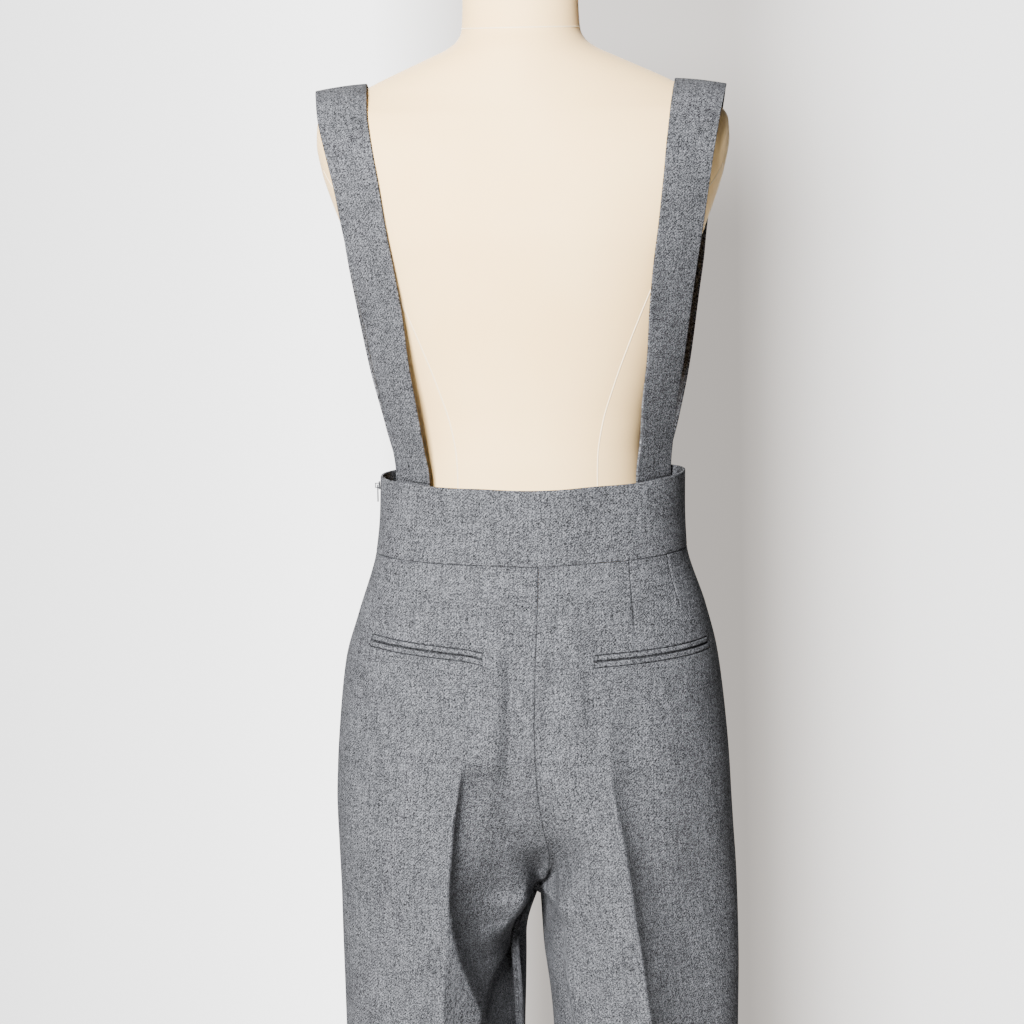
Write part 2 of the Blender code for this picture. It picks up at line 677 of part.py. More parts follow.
def add_dress_form(material, collection):
    """A stack of superellipse rings, closed at the neck and at the foot."""
    sections = smooth(FORM_SECTIONS, np.linspace(0, len(FORM_SECTIONS) - 1, 40))
    angle = np.linspace(0, 2 * np.pi, 33)[:-1]
    power = 2 / sections[:, 4:5]
    cosine, sine = np.cos(angle), np.sin(angle)
    x = sections[:, 1:2] * np.sign(cosine) * abs(cosine) ** power
    depth = np.where(sine > 0, sections[:, 2:3], sections[:, 3:4])
    y = depth * np.sign(sine) * abs(sine) ** power
    z = np.broadcast_to(sections[:, :1], x.shape)
    grid = np.stack([x, y, z], -1)
    mesh = grid_mesh("dress_form", np.concatenate([grid, grid[:, :1]], axis=1))
    body = bmesh.new()
    body.from_mesh(mesh)
    bmesh.ops.remove_doubles(body, verts=body.verts, dist=1e-6)
    bmesh.ops.holes_fill(body, edges=body.edges, sides=0)
    face_outwards(body)
    body.to_mesh(mesh)
    body.free()
    return add_mesh("dress_form", mesh, material, collection)


def add_turned(name, profile, place, material, collection, steps=32):
    """A solid of revolution: a profile of (radius, z) pairs from top to foot, with a Screw."""
    mesh = bpy.data.meshes.new(name)
    points = [(radius * MM, 0.0, z * MM) for radius, z in profile]
    mesh.from_pydata(points, [(i, i + 1) for i in range(len(points) - 1)], [])
    part = add_mesh(name, mesh, material, collection)
    part.location = [value * MM for value in place]
    turn = part.modifiers.new("Turned", "SCREW")
    turn.steps = turn.render_steps = steps
    turn.use_merge_vertices = True
    turn.merge_threshold = 0.00001
    return part


def rounded(radius, top, foot, edge, turns=3):
    """Profile of a disc with rounded rims, from its top centre to its foot centre."""
    upper = [
        (radius - edge + edge * math.sin(a), top - edge + edge * math.cos(a))
        for a in np.linspace(0, math.pi / 2, turns + 1)
    ]
    lower = [(r, foot + top - z) for r, z in reversed(upper)]
    return [(0.0, top), *upper, *lower, (0.0, foot)]


def add_stand(steel, cap, collection):
    plate = rounded(BASE_RADIUS, BASE_HEIGHT, 0.0, BASE_EDGE, 2)
    add_turned("stand_base", plate, (0, 0, 0), steel, collection, 56)
    foot = BASE_HEIGHT + SEAM_GAP
    top = FORM_SECTIONS[-1][0] - SEAM_GAP
    pole = [
        (0.0, top),
        (COLLAR_RADIUS, top),
        (COLLAR_RADIUS, top - SOCKET_HEIGHT),
        (POLE_RADIUS, top - SOCKET_HEIGHT - COLLAR_HEIGHT / 2),
        (POLE_RADIUS, foot + COLLAR_HEIGHT),
        (POLE_RADIUS + 5.0, foot + COLLAR_HEIGHT - 4.0),
        (COLLAR_RADIUS, foot + 5.0),
        (COLLAR_RADIUS, foot),
        (0.0, foot),
    ]
    add_turned("stand_pole", pole, (POLE_X, 0, 0), steel, collection)
    neck = FORM_SECTIONS[0]
    centre = (0.0, (neck[2] - neck[3]) / 2, neck[0] + SEAM_GAP)
    disc = rounded(CAP_RADIUS, CAP_HEIGHT, 0.0, CAP_EDGE)
    add_turned("neck_cap", disc, centre, cap, collection)


def pull_place():
    """The hinge of the zip pull: outside the side seam near the band's top."""
    row = np.array([(SIDE_LEFT[0][2] - PULL_HINGE_Z) / (SIDE_LEFT[0][2] - SIDE_LEFT[1][2])])
    seam = smooth(SIDE_LEFT, row)[0]
    return seam[0] + PULL_STANDOFF, seam[1], PULL_HINGE_Z


def add_zip_slider(material, collection, cutters):
    """Slider plate on the cloth with the arch that the pull hangs from."""
    hinge_x, hinge_y, hinge_z = pull_place()
    back = hinge_x - PULL_STANDOFF + SEAM_GAP + SLIDER_LIFT
    wall, width, height = SLIDER_PLATE
    plate = bmesh.new()
    bmesh.ops.create_cube(plate, size=1.0, matrix=Matrix.Diagonal((wall, width, height, 1.0)))
    bmesh.ops.translate(plate, verts=plate.verts, vec=(back + wall / 2, hinge_y, hinge_z))
    outline = [(-2.3, 0.9), (2.3, 0.9), (2.3, 4.5), (-2.3, 4.5)]
    inner = [(-1.5, 0.2), (1.5, 0.2), (1.5, 3.7), (-1.5, 3.7)]
    arch = bmesh.new()
    loops = []
    for y in (-ARCH_WIDTH / 2, ARCH_WIDTH / 2):
        for ring in (outline, inner):
            loops.append([arch.verts.new((back + x, hinge_y + y, hinge_z + z)) for z, x in ring])
    near_out, near_in, far_out, far_in = loops
    for i in range(4):
        j = (i + 1) % 4
        arch.faces.new((near_out[i], near_out[j], near_in[j], near_in[i]))
        arch.faces.new((far_out[j], far_out[i], far_in[i], far_in[j]))
        arch.faces.new((near_out[j], near_out[i], far_out[i], far_out[j]))
        arch.faces.new((near_in[i], near_in[j], far_in[j], far_in[i]))
    for body in (plate, arch):
        bmesh.ops.scale(body, verts=body.verts, vec=(MM, MM, MM))
        face_outwards(body)
    plate_mesh = bpy.data.meshes.new("zip_slider")
    plate.to_mesh(plate_mesh)
    arch_mesh = bpy.data.meshes.new("zip_slider_arch")
    arch.to_mesh(arch_mesh)
    plate.free()
    arch.free()
    slider = add_mesh("zip_slider", plate_mesh, material, collection)
    arch_part = bpy.data.objects.new("zip_slider_arch", arch_mesh)
    arch_part.hide_render = True
    arch_part.display_type = "WIRE"
    cutters.objects.link(arch_part)
    join = slider.modifiers.new("Arch", "BOOLEAN")
    join.operation = "UNION"
    join.object = arch_part
    return slider


def add_zip_pull(material, collection):
    """Teardrop tab with an eye, its origin on the hinge axis."""
    shape = bpy.data.curves.new("zip_pull", "CURVE")
    shape.dimensions = "2D"
    shape.fill_mode = "BOTH"
    shape.extrude = PULL_WALL / 2 * MM
    half = PULL_WIDTH / 2
    outline = [
        (1.9, 0.5), (0.8, 0.5), (-0.8, 0.5), (-1.9, 0.5), (-2.0, -3.0), (-half, -10.5),
        (-1.9, 1.0 - PULL_LENGTH), (0.0, 0.5 - PULL_LENGTH), (1.9, 1.0 - PULL_LENGTH),
        (half, -10.5), (2.0, -3.0),
    ]
    eye = [(-1.05, -0.5), (1.05, -0.5), (1.05, -4.6), (-1.05, -4.6)]
    for points in (outline, eye):
        spline = shape.splines.new("POLY")
        spline.points.add(len(points) - 1)
        for point, (x, y) in zip(spline.points, points):
            point.co = (x * MM, y * MM, 0.0, 1.0)
        spline.use_cyclic_u = True
    flat = bpy.data.objects.new("zip_pull_outline", shape)
    collection.objects.link(flat)
    bpy.context.view_layer.update()
    mesh = bpy.data.meshes.new_from_object(flat.evaluated_get(bpy.context.evaluated_depsgraph_get()))
    bpy.data.objects.remove(flat)
    body = bmesh.new()
    body.from_mesh(mesh)
    bmesh.ops.remove_doubles(body, verts=body.verts, dist=2e-6)
    body.transform(Matrix(((0, 0, 1, 0), (1, 0, 0, 0), (0, 1, 0, 0), (0, 0, 0, 1))))
    face_outwards(body)
    body.to_mesh(mesh)
    body.free()
    mesh.name = "zip_pull"
    pull = add_mesh("zip_pull", mesh, material, collection)
    pull.location = [value * MM for value in pull_place()]
    return pull


for old in list(bpy.data.objects):
    bpy.data.objects.remove(old)

trousers = new_collection("suspender_trousers")
cutters = new_collection("cutters")
wool = make_material("Grey wool twill", (0.215, 0.228, 0.245), 0.85)
calico = make_material("Ivory stretched cloth", (0.83, 0.77, 0.66), 0.75)
steel = make_material("White painted steel", (0.78, 0.77, 0.74), 0.4)
zinc = make_material("Grey plated zinc", (0.35, 0.35, 0.36), 0.35, 1.0)
cap = make_material("Ivory moulded plastic", (0.80, 0.76, 0.68), 0.45)

add_panels(wool, trousers)
for face in ("back", "front"):
    add_waistband(face, wool, trousers)
add_straps(wool, trousers)
add_pocket_welts(wool, trousers)
add_zip_slider(zinc, trousers, cutters)
add_zip_pull(zinc, trousers)
add_dress_form(calico, trousers)
add_stand(steel, cap, trousers)
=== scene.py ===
# Grey wool suspender trousers worn by a dress form: the fine cloth, seams, zip, form and stand.
# Lengths in the dictionaries are millimetres. +X is the wearer's left, and the back faces +Y.

import math

import bmesh
import bpy
import numpy as np
from mathutils import Matrix, Vector


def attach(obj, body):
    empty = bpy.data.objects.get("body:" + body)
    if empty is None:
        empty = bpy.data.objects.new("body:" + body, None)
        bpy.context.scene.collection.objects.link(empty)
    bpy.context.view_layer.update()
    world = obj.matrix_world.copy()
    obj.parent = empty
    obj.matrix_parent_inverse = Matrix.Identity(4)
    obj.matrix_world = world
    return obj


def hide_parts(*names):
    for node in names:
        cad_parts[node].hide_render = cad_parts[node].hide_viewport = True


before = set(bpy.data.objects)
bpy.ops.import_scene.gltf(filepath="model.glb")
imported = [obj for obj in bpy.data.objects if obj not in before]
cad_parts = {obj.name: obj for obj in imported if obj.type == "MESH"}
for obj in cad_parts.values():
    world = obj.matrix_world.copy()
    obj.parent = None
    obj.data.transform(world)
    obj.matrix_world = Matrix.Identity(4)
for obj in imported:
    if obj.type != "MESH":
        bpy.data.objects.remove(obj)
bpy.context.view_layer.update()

mm = 0.001
mainBody = "garment_on_form"
pullBody = "zip_pull"
sides = ("left", "right")
bandTop, bandFoot, fork, hemLine = 0, 2, 10, 15  # levels of the guide lines

# Guide lines, each with x, y, z at sixteen levels from the band's top down to the hem. The two
# middle seams have eleven levels, down to the fork, and the inner seams go on from there.
guides = {
    "sideLeft": [
        (133, 7, 1146), (134.5, 7, 1112), (138.5, 7, 1077.7), (155.5, 7, 1023), (168, 7, 981),
        (175, 6, 925), (178.2, 5, 885), (179.6, 4, 850), (179, 3, 818), (178.3, 2, 790),
        (177.8, 0, 767), (177.6, 0, 738), (177.3, 0, 700), (176.7, 0, 640), (174, 0, 380),
        (170, 0, 60)],
    "sideRight": [
        (-140.5, -7, 1146), (-140, -7, 1112), (-141, -7, 1077.7), (-157.5, -7, 1023),
        (-167.5, -7, 981), (-174, -6, 925), (-177, -5, 885), (-178.6, -4, 850), (-180.2, -3, 818),
        (-181.8, -2, 790), (-182.6, 0, 767), (-183.2, 0, 738), (-183.5, 0, 700), (-182.4, 0, 640),
        (-178, 0, 380), (-172, 0, 60)],
    "backCreaseLeft": [
        (52, 87, 1142), (53, 87, 1108.5), (55, 88, 1075), (57, 98, 1022), (58, 106.5, 980),
        (60, 113, 925), (64, 117, 886), (69, 119.5, 851), (73, 120.5, 818), (76, 121, 790),
        (77.5, 121, 767), (79.5, 120.5, 738), (81.5, 119.5, 700), (84, 118, 640), (92, 112, 380),
        (96, 108, 60)],
    "backCreaseRight": [
        (-72, 80, 1142), (-72, 80, 1108.5), (-71, 83, 1075), (-70, 95, 1022), (-69, 104, 980),
        (-67, 112.5, 925), (-69.5, 117, 886), (-75, 119.5, 851), (-80, 120.5, 818), (-84, 121, 790),
        (-87, 121, 767), (-91.5, 120.5, 738), (-96.5, 119.5, 700), (-101.5, 118, 640),
        (-103, 112, 380), (-100, 108, 60)],
    "frontCreaseLeft": [
        (66, -81, 1145), (66, -81, 1111.5), (67, -83, 1077.5), (70, -92, 1023), (73, -99, 981),
        (77, -105, 925), (80, -109, 885), (82, -111.5, 851), (84, -113, 818), (86, -114, 790),
        (87.5, -114.5, 767), (89.5, -114.5, 738), (91.5, -114, 700), (93, -113, 640),
        (97, -109, 380), (98, -106, 60)],
    "seatSeam": [
        (-9.5, 97, 1140.5), (-9, 97.5, 1107), (-8.5, 98, 1073.7), (-6.5, 108, 1020), (-4, 115, 980),
        (-2.8, 119.5, 925), (-3.8, 118.5, 886), (-8, 106, 843), (-13, 70, 806), (-7, 32, 779),
        (1, 0, 768)],
    "flySeam": [
        (4, -96, 1146), (4, -96.5, 1112), (4, -97, 1077.7), (3.5, -103, 1023), (3, -106.5, 981),
        (2, -107, 925), (2, -104, 886), (2, -93, 845), (2, -62, 808), (1.5, -28, 780), (1, 0, 768)],
    "inseamLeft": [(5, 0, 758), (21, 0, 714), (18, 0, 643), (19, 0, 380), (24, 0, 60)],
    "inseamRight": [(-7, 0, 756), (-7.5, 0, 712), (-13.5, 0, 643), (-20, 0, 380), (-26, 0, 60)],
}
guides["frontCreaseRight"] = [(-x, y, z) for x, y, z in guides["frontCreaseLeft"]]
lines = {
    (face, side): (guides[f"side{side.title()}"], guides[f"{face}Crease{side.title()}"],
                   guides[middleSeam] + guides[f"inseam{side.title()}"])
    for face, middleSeam in (("back", "seatSeam"), ("front", "flySeam")) for side in sides
}

# How each section leaves the crease: slope outside it, slope inside it, fullness of the inside,
# turn at the inner seam in degrees, and the bulge there towards the other leg.
hipShape = [
    (0.36, -0.30, 0.35, 0, 0), (0.36, -0.30, 0.35, 0, 0), (0.34, -0.28, 0.35, 0, 0),
    (0.29, -0.26, 0.35, 0, 0), (0.28, -0.22, 0.35, 0, 0), (0.34, -0.16, 0.35, 0, 0),
    (0.44, -0.02, 0.45, 0, 0)]
bellyShape = [
    (0.30, -0.27, 0.35, 0, 0), (0.30, -0.27, 0.35, 0, 0), (0.30, -0.25, 0.35, 0, 0),
    (0.28, -0.19, 0.35, 0, 0), (0.27, -0.12, 0.35, 0, 0), (0.30, -0.02, 0.40, 0, 0),
    (0.34, 0.06, 0.50, 0, 0), (0.38, 0.14, 0.62, 0, 0), (0.42, 0.22, 0.78, 0, 0),
    (0.44, 0.28, 0.88, 0, 0)]
shapes = {
    ("back", "left"): hipShape + [
        (0.52, 0.10, 0.62, 8, 0), (0.58, 0.16, 0.78, 30, 0), (0.62, 0.18, 0.92, 62, 0),
        (0.64, 0.22, 0.92, 82, 0), (0.66, 0.36, 0.86, 90, -4), (0.66, 0.84, 0.58, 90, -8),
        (0.65, 1.08, 0.42, 90, -8), (0.62, 0.95, 0.46, 90, 0), (0.60, 0.60, 0.55, 90, 0)],
    ("back", "right"): hipShape + [
        (0.64, 0.10, 0.62, 8, 0), (0.88, 0.18, 0.78, 26, 0), (1.10, 0.25, 0.90, 62, 0),
        (1.24, 0.30, 0.90, 80, -8), (1.32, 0.34, 0.84, 90, -6), (1.36, 0.37, 0.78, 90, -2),
        (1.34, 0.42, 0.72, 90, 0), (1.10, 0.55, 0.58, 90, 0), (0.80, 0.60, 0.55, 90, 0)],
    ("front", "left"): bellyShape + [
        (0.46, 0.32, 0.90, 45, 8), (0.48, 0.36, 0.88, 90, 20), (0.50, 0.40, 0.86, 90, 30),
        (0.52, 0.44, 0.80, 90, 20), (0.56, 0.56, 0.60, 90, 4), (0.60, 0.60, 0.55, 90, 0)],
    ("front", "right"): bellyShape + [
        (0.46, 0.32, 0.90, 45, 10), (0.48, 0.36, 0.88, 90, 16), (0.50, 0.40, 0.84, 90, 12),
        (0.52, 0.44, 0.76, 90, 6), (0.56, 0.56, 0.60, 90, 2), (0.60, 0.60, 0.55, 90, 0)],
}
handles = {  # lengths of the section curves' handles, as shares of what they span
    "outer": 0.5, "across": 0.45, "deep": 0.60, "side": 0.55,
    "sideCut": 0.13, "steepFrom": 0.7, "steepOver": 0.5,  # shorter at the side where it is steep
    "cheekLevel": 10.5, "cheekSpread": 1.8,  # fuller about this level under the left seat
}

# Soft folds of the back, each a list of z, x, height (below zero for a dip), and its reach to the
# wearer's left and right.
backFolds = {
    "dip left of the middle seam": [
        (1040, 14, 0, 8, 16), (1015, 16, -3.5, 7, 16), (980, 18.5, -6.5, 7, 17),
        (930, 20, -8.0, 7, 18), (890, 20.5, -8.5, 9, 16), (850, 12, -5.0, 16, 12),
        (815, 4, 0, 18, 10)],
    "dip above the right crease": [
        (975, -96, 0, 12, 12), (940, -92, -2.6, 12, 14), (905, -84, -3.6, 12, 14),
        (880, -80, -2.0, 12, 14), (860, -78, 0, 12, 14)],
    "dip right of the middle seam": [
        (1035, -21, 0, 9, 12), (1010, -22, -3.0, 9, 12), (984, -21, -4.8, 9, 12),
        (955, -16.5, -4.2, 9, 12), (925, -14, -2, 9, 12), (895, -12, 0, 9, 12)],
    "full cloth inside the right pocket": [
        (1050, -38, 0, 12, 12), (1000, -38, 2.0, 12, 12), (940, -40, 2.0, 12, 14),
        (880, -42, 1.0, 14, 14), (840, -44, 0, 14, 14)],
    "dip inside the right pocket": [
        (1045, -46, 0, 9, 12), (1000, -50, -1.6, 9, 12), (950, -53, -1.6, 9, 12),
        (900, -56, 0, 9, 12)],
    "dip inside the left crease": [
        (915, 50, 0, 14, 12), (885, 53, -2.2, 14, 12), (840, 56, -2.6, 14, 14),
        (800, 58, 0, 14, 14)],
    "left leg, outer fold": [
        (800, 126, 0, 22, 22), (700, 129, -2.2, 22, 20), (560, 132, -3.0, 20, 18),
        (400, 134, -2.4, 22, 20), (200, 134, 0, 22, 22)],
    "right leg, outer fold": [
        (880, -128, 0, 20, 22), (800, -131, -2.0, 20, 22), (660, -138, -3.0, 18, 22),
        (460, -142, -2.6, 18, 22), (240, -140, 0, 20, 22)],
    "right leg, inner fold": [
        (820, -40, 0, 14, 14), (740, -46, -2.2, 14, 14), (600, -54, -3.0, 14, 14),
        (440, -58, -1.8, 14, 14), (300, -60, 0, 14, 14)],
}
frontFolds = {
    "left of the front seam": [
        (900, 26, 0, 16, 12), (860, 28, -1.6, 16, 12), (820, 34, -2.6, 16, 12),
        (760, 46, -2.0, 16, 14), (690, 58, 0, 16, 14)],
    "right of the front seam": [
        (905, -22, 0, 12, 16), (865, -25, -1.8, 12, 16), (820, -32, -2.4, 12, 16),
        (760, -44, -1.8, 14, 16), (680, -56, 0, 14, 16)],
    "left leg": [
        (760, 134, 0, 20, 20), (600, 136, -2.6, 20, 20), (420, 137, -2.2, 20, 20),
        (240, 136, 0, 20, 20)],
    "right leg": [
        (720, -136, 0, 20, 20), (560, -138, -2.4, 20, 20), (380, -139, -2.4, 20, 20),
        (220, -138, 0, 20, 20)],
}

# The cloth that hangs from the fork across the back of the wearer's left thigh. It starts in a
# narrow valley, close inside the crease and then leaving it, and ends at the ridge where the leg
# turns under. Each list has z, then x or a depth.
swag = {
    "line": [
        (560, 34), (600, 37), (648, 44), (663, 48), (686, 54.5), (706, 61), (725, 67.5), (750, 73),
        (775, 75.5), (796, 75.5), (850, 70), (880, 65), (910, 60)],
    "step": [
        (560, 0), (600, 2), (648, 5), (670, 8), (707, 10), (745, 10), (775, 10), (800, 9), (840, 8),
        (870, 6), (890, 3), (900, 0)],
    "depth": [
        (560, 0), (600, 7), (648, 20), (670, 28), (707, 40), (745, 50), (775, 40), (800, 22),
        (820, 12), (840, 8), (870, 5), (895, 2), (912, 0)],
    "edge": [(560, 12), (663, 10), (700, 9), (725, 8), (745, 5), (912, 4.5)],
    "reach": [
        (560, 28), (600, 30), (670, 36), (707, 44), (745, 56), (775, 60), (800, 44), (820, 28),
        (840, 18), (912, 14)],
    "return": [(715, 0), (745, 0.12), (775, 0.3), (800, 0.5), (820, 0.8)],
    "ridge": [
        (600, 52), (660, 52), (690, 42), (700, 35), (710, 26), (730, 15), (747, 9), (764, 1),
        (780, -6), (788, -9), (800, -12), (808, -13)],
    "drop": [
        (560, 0), (600, 4), (640, 10), (660, 13), (700, 16), (735, 14), (760, 9), (780, 5),
        (795, 1), (808, 0)],
    "rightEdge": [(720, -8), (745, -14), (765, -20.5), (800, -21), (812, -18)],
    "rightDrop": [(715, 0), (745, 10), (765, 24), (785, 18), (800, 7), (812, 0)],
    "fill": [(690, 0), (705, 4), (730, 9), (752, 11), (768, 12), (778, 8), (790, 0)],
    "turnWidth": 3.5, "cheek": 0.4, "returnStart": 38.0, "returnReach": 40.0, "fillReach": 24,
}
# the hollow above the fork, and the fall outside the right crease, both by height
seatHollow = {
    "depth": [(930, 0), (895, 5), (860, 10), (825, 14), (800, 12), (780, 7), (765, 0)],
    "left": 62.0, "right": 48.0, "start": 5.0, "run": 60.0,
}
rightFall = {
    "depth": [
        (250, 0), (450, 2), (600, 3), (700, 3.5), (775, 7), (820, 8), (860, 7), (880, 4), (895, 0)],
    "run": 150.0, "reach": 15.0, "returnStart": 16.0, "return": 34.0,
}

darts = {  # place along the panel, level where it ends, and depth of its seam
    ("back", "left"): [(0.83, 3.35, 0.45), (0.457, 2.9, 0.45)],
    ("back", "right"): [(0.832, 3.5, 1.2), (0.457, 2.98, 1.7)],
    ("front", "left"): [],
    ("front", "right"): [],
}
dartSeam = {"width": 0.0052, "end": 0.6, "shade": 0.7, "shadeWidth": 0.005, "shadeEnd": 0.5}
pressedCrease = {  # levels where it starts, how far it spreads and where it softens
    "rise": 2.0, "outside": 0.11, "inside": 0.08, "back": 4.2, "front": 2.2, "startOver": 1.2,
    "softFrom": 9, "softOver": 6, "softShare": 0.5,
}
steamWaves = [  # height, run across, run down as a share of a millimetre, and phase
    (0.30, 13, 1 / 41, 0.0), (0.24, 29, -1 / 23, 1.7), (0.20, 19, 1 / 67, 0.6),
    (0.10, 7.5, -1 / 17, 2.9)]
fades = {"side": 0.16, "aboveFork": 1.5, "bandShare": 0.25, "belowBand": 0.5, "foldsFrom": 7}
# strengths and widths of the painted shade along the inner seam, the side seam and the band's seam
seamShadeLines = {"width": 0.006, "inner": 0.55, "side": 0.4, "band": 0.5, "bandWidth": 0.012}
pockets = {
    "left": {"outer": (0.375, 3.42), "inner": (1.262, 3.66)},
    "right": {"outer": (0.225, 3.70), "inner": (1.193, 3.76)},
    "weltHeight": 4.6,
    "weltPitch": 6.0,
    "levelHeight": 42.0,  # one level of the guide lines is about 42 mm here
    "recess": 1.3,
    "slotSpare": 2.0,
    "slotEdge": 0.02,  # in levels
    "endEdge": 0.012, "outerSpare": 0.006, "innerSpare": 0.011,  # along the panel
}
cloth = {
    "wall": 1.3,
    "seamGap": 0.08,
    "forkGap": 0.25,
    "forkSpread": 0.45,  # in levels
    "seamTurn": 3.2,  # how far each edge turns in at a seam
    "halfTurn": 0.4,
    "seamDip": 0.75,
    "softDip": 0.3,
    "bandSeamGap": 0.3,
}


def smooth(table, level):
    # monotone cubic curve through a table, read at fractional row numbers
    table = np.asarray(table, float)
    steps = np.diff(table, axis=0)
    product = steps[:-1] * steps[1:]
    total = np.where(product > 0, steps[:-1] + steps[1:], 1.0)
    slopes = np.vstack([steps[:1], np.where(product > 0, 2 * product / total, 0.0), steps[-1:]])
    row = np.clip(level.astype(int), 0, len(table) - 2)
    t = (level - row)[:, None]
    start = table[row] * (1 + 2 * t) * (1 - t) ** 2 + slopes[row] * t * (1 - t) ** 2
    return start + table[row + 1] * t**2 * (3 - 2 * t) + slopes[row + 1] * t**2 * (t - 1)


def bezier(a, b, c, d, t):
    t = t[:, None]
    return a * (1 - t) ** 3 + 3 * b * t * (1 - t) ** 2 + 3 * c * t**2 * (1 - t) + d * t**3


def softStep(value):
    value = np.clip(value, 0, 1)
    return value * value * (3 - 2 * value)


def bell(away, width):
    return np.exp(-((away / width) ** 2))


def easedFall(away, reach):
    # steep at first, then easing out to 1 at its reach
    return 1 - (1 - np.clip(away / reach, 0, 1)) ** 3


def waviness(waves, along, aside):
    # a few sine waves that never line up
    return sum(rise * np.sin(along / run + aside * drift + phase) for rise, run, drift, phase in waves)


def around(count):
    return np.arange(count) / count * 2 * math.pi


def unitRows(vectors):
    return vectors / np.linalg.norm(vectors, axis=-1, keepdims=True)


def ways(face, side):
    # the way out from the middle, and the way out from the body's depth
    return (1.0 if side == "left" else -1.0), (1.0 if face == "back" else -1.0)


def sectionPoints(face, side, across, level):
    # one quarter of the garment: two cubic curves a level, from the side seam to the crease at 1
    # and from there to the inner seam at 2
    outward, depth = ways(face, side)
    sideEdge, crease, innerEdge = (smooth(line, level) for line in lines[face, side])
    half = cloth["seamGap"] / 2
    ease = half + cloth["forkGap"] * bell(level - fork, cloth["forkSpread"])
    sideEdge[:, 1] += depth * half
    innerEdge[:, 0] += np.where(level <= fork, outward * ease, 0.0)
    innerEdge[:, 1] += np.where(level >= fork, depth * ease, 0.0)
    outerSlope, innerSlope, fullness, turn, bulge = smooth(shapes[face, side], level).T
    turn = np.radians(turn)
    flat = np.zeros_like(turn)
    runOut = handles["outer"] * abs(sideEdge[:, 0] - crease[:, 0])
    reachIn = abs(crease[:, 0] - innerEdge[:, 0])
    runIn = fullness * reachIn
    acrossRun = handles["across"] * reachIn * np.cos(turn) - bulge
    cheek = swag["cheek"] * bell(level - handles["cheekLevel"], handles["cheekSpread"])
    deepShare = handles["deep"] + cheek * ((face, side) == ("back", "left"))
    deepRun = deepShare * abs(crease[:, 1] - innerEdge[:, 1]) * np.sin(turn)
    steep = np.clip((outerSlope - handles["steepFrom"]) / handles["steepOver"], 0, 1)
    sideRun = (handles["side"] - handles["sideCut"] * steep) * (crease[:, 1] - sideEdge[:, 1])
    sideHandle = sideEdge + np.stack([flat, sideRun, flat], -1)
    outerHandle = crease + np.stack([outward * runOut, -depth * outerSlope * runOut, flat], -1)
    creaseHandle = crease + np.stack([-outward * runIn, -depth * innerSlope * runIn, flat], -1)
    innerHandle = innerEdge + np.stack([outward * acrossRun, depth * deepRun, flat], -1)
    outer = bezier(sideEdge, sideHandle, outerHandle, crease, np.clip(across, 0, 1))
    inner = bezier(crease, creaseHandle, innerHandle, innerEdge, np.clip(across - 1, 0, 1))
    return np.where(across[:, None] <= 1, outer, inner)


def normalsOf(surface, face, side, across, level):
    # outward unit normals, from the differences of a surface along its two parameters
    outward, depth = ways(face, side)
    acrossStep, levelStep = 0.006, 0.02
    alongAcross = surface(face, side, np.minimum(across + acrossStep, 2), level) \
        - surface(face, side, np.maximum(across - acrossStep, 0), level)
    alongLevel = surface(face, side, across, np.minimum(level + levelStep, hemLine)) \
        - surface(face, side, across, np.maximum(level - levelStep, 0))
    return unitRows(-outward * depth * np.cross(alongAcross, alongLevel))


def readLine(z, points):
    z0, values = np.array(sorted(points), float).T
    return np.interp(z, z0, values)


def foldHeight(x, z, folds):
    # each fold is a bell across a path that x follows with z
    height = np.zeros_like(x)
    for rows in folds.values():
        table = np.array(sorted(rows), float)
        path, rise, left, right = (np.interp(z, table[:, 0], table[:, i]) for i in range(1, 5))
        away = x - path
        height += rise * bell(away, np.where(away > 0, left, right))
    return height


def swagHeight(x, z):
    # a sharp step down inside the crease, a further fall that eases out, a slow return towards the
    # fork, the full cloth before the ridge and the drop past it
    read = {name: readLine(z, rows) for name, rows in swag.items() if isinstance(rows, list)}
    inward, past = read["line"] - x, read["ridge"] - x
    sunk = read["step"] * softStep(inward / read["edge"])
    sunk += read["depth"] * easedFall(inward, read["reach"])
    sunk *= 1 - read["return"] * softStep((swag["returnStart"] - x) / swag["returnReach"])
    filled = read["fill"] * softStep(1 + past / swag["fillReach"])
    return filled - sunk - (read["drop"] + filled) * softStep(past / swag["turnWidth"])


def seatSink(x, y, z):
    # the seat seam lies in a soft hollow above the fork, shared by both panels
    outwards = np.where(x > 0, x / seatHollow["left"], -x / seatHollow["right"])
    inDepth = softStep((y - seatHollow["start"]) / seatHollow["run"])
    return -readLine(z, seatHollow["depth"]) * (1 - softStep(outwards)) * inDepth


def creaseFall(across, z):
    # the step down outside the right crease, which eases out and returns towards the side seam
    outwards = (1 - across) * rightFall["run"]
    kept = 1 - softStep((outwards - rightFall["returnStart"]) / rightFall["return"])
    return -readLine(z, rightFall["depth"]) * easedFall(outwards, rightFall["reach"]) * kept


def rightTurnHeight(x, z):
    # the edge where the other leg's back turns in towards the fork
    past = (x - readLine(z, swag["rightEdge"])) / swag["turnWidth"]
    return -readLine(z, swag["rightDrop"]) * softStep(past)


def pocketShare(side, across, level):
    # 1 inside the slot that a pocket's two welts fill, 0 outside it
    (start, startLevel), (end, endLevel) = pockets[side]["outer"], pockets[side]["inner"]
    middle = startLevel + (across - start) / (end - start) * (endLevel - startLevel)
    slot = pockets["weltHeight"] + pockets["weltPitch"] + pockets["slotSpare"]
    inside = softStep((slot / 2 / pockets["levelHeight"] - abs(level - middle)) / pockets["slotEdge"])
    inside *= softStep((across - start + pockets["outerSpare"]) / pockets["endEdge"])
    return inside * softStep((end + pockets["innerSpare"] - across) / pockets["endEdge"])


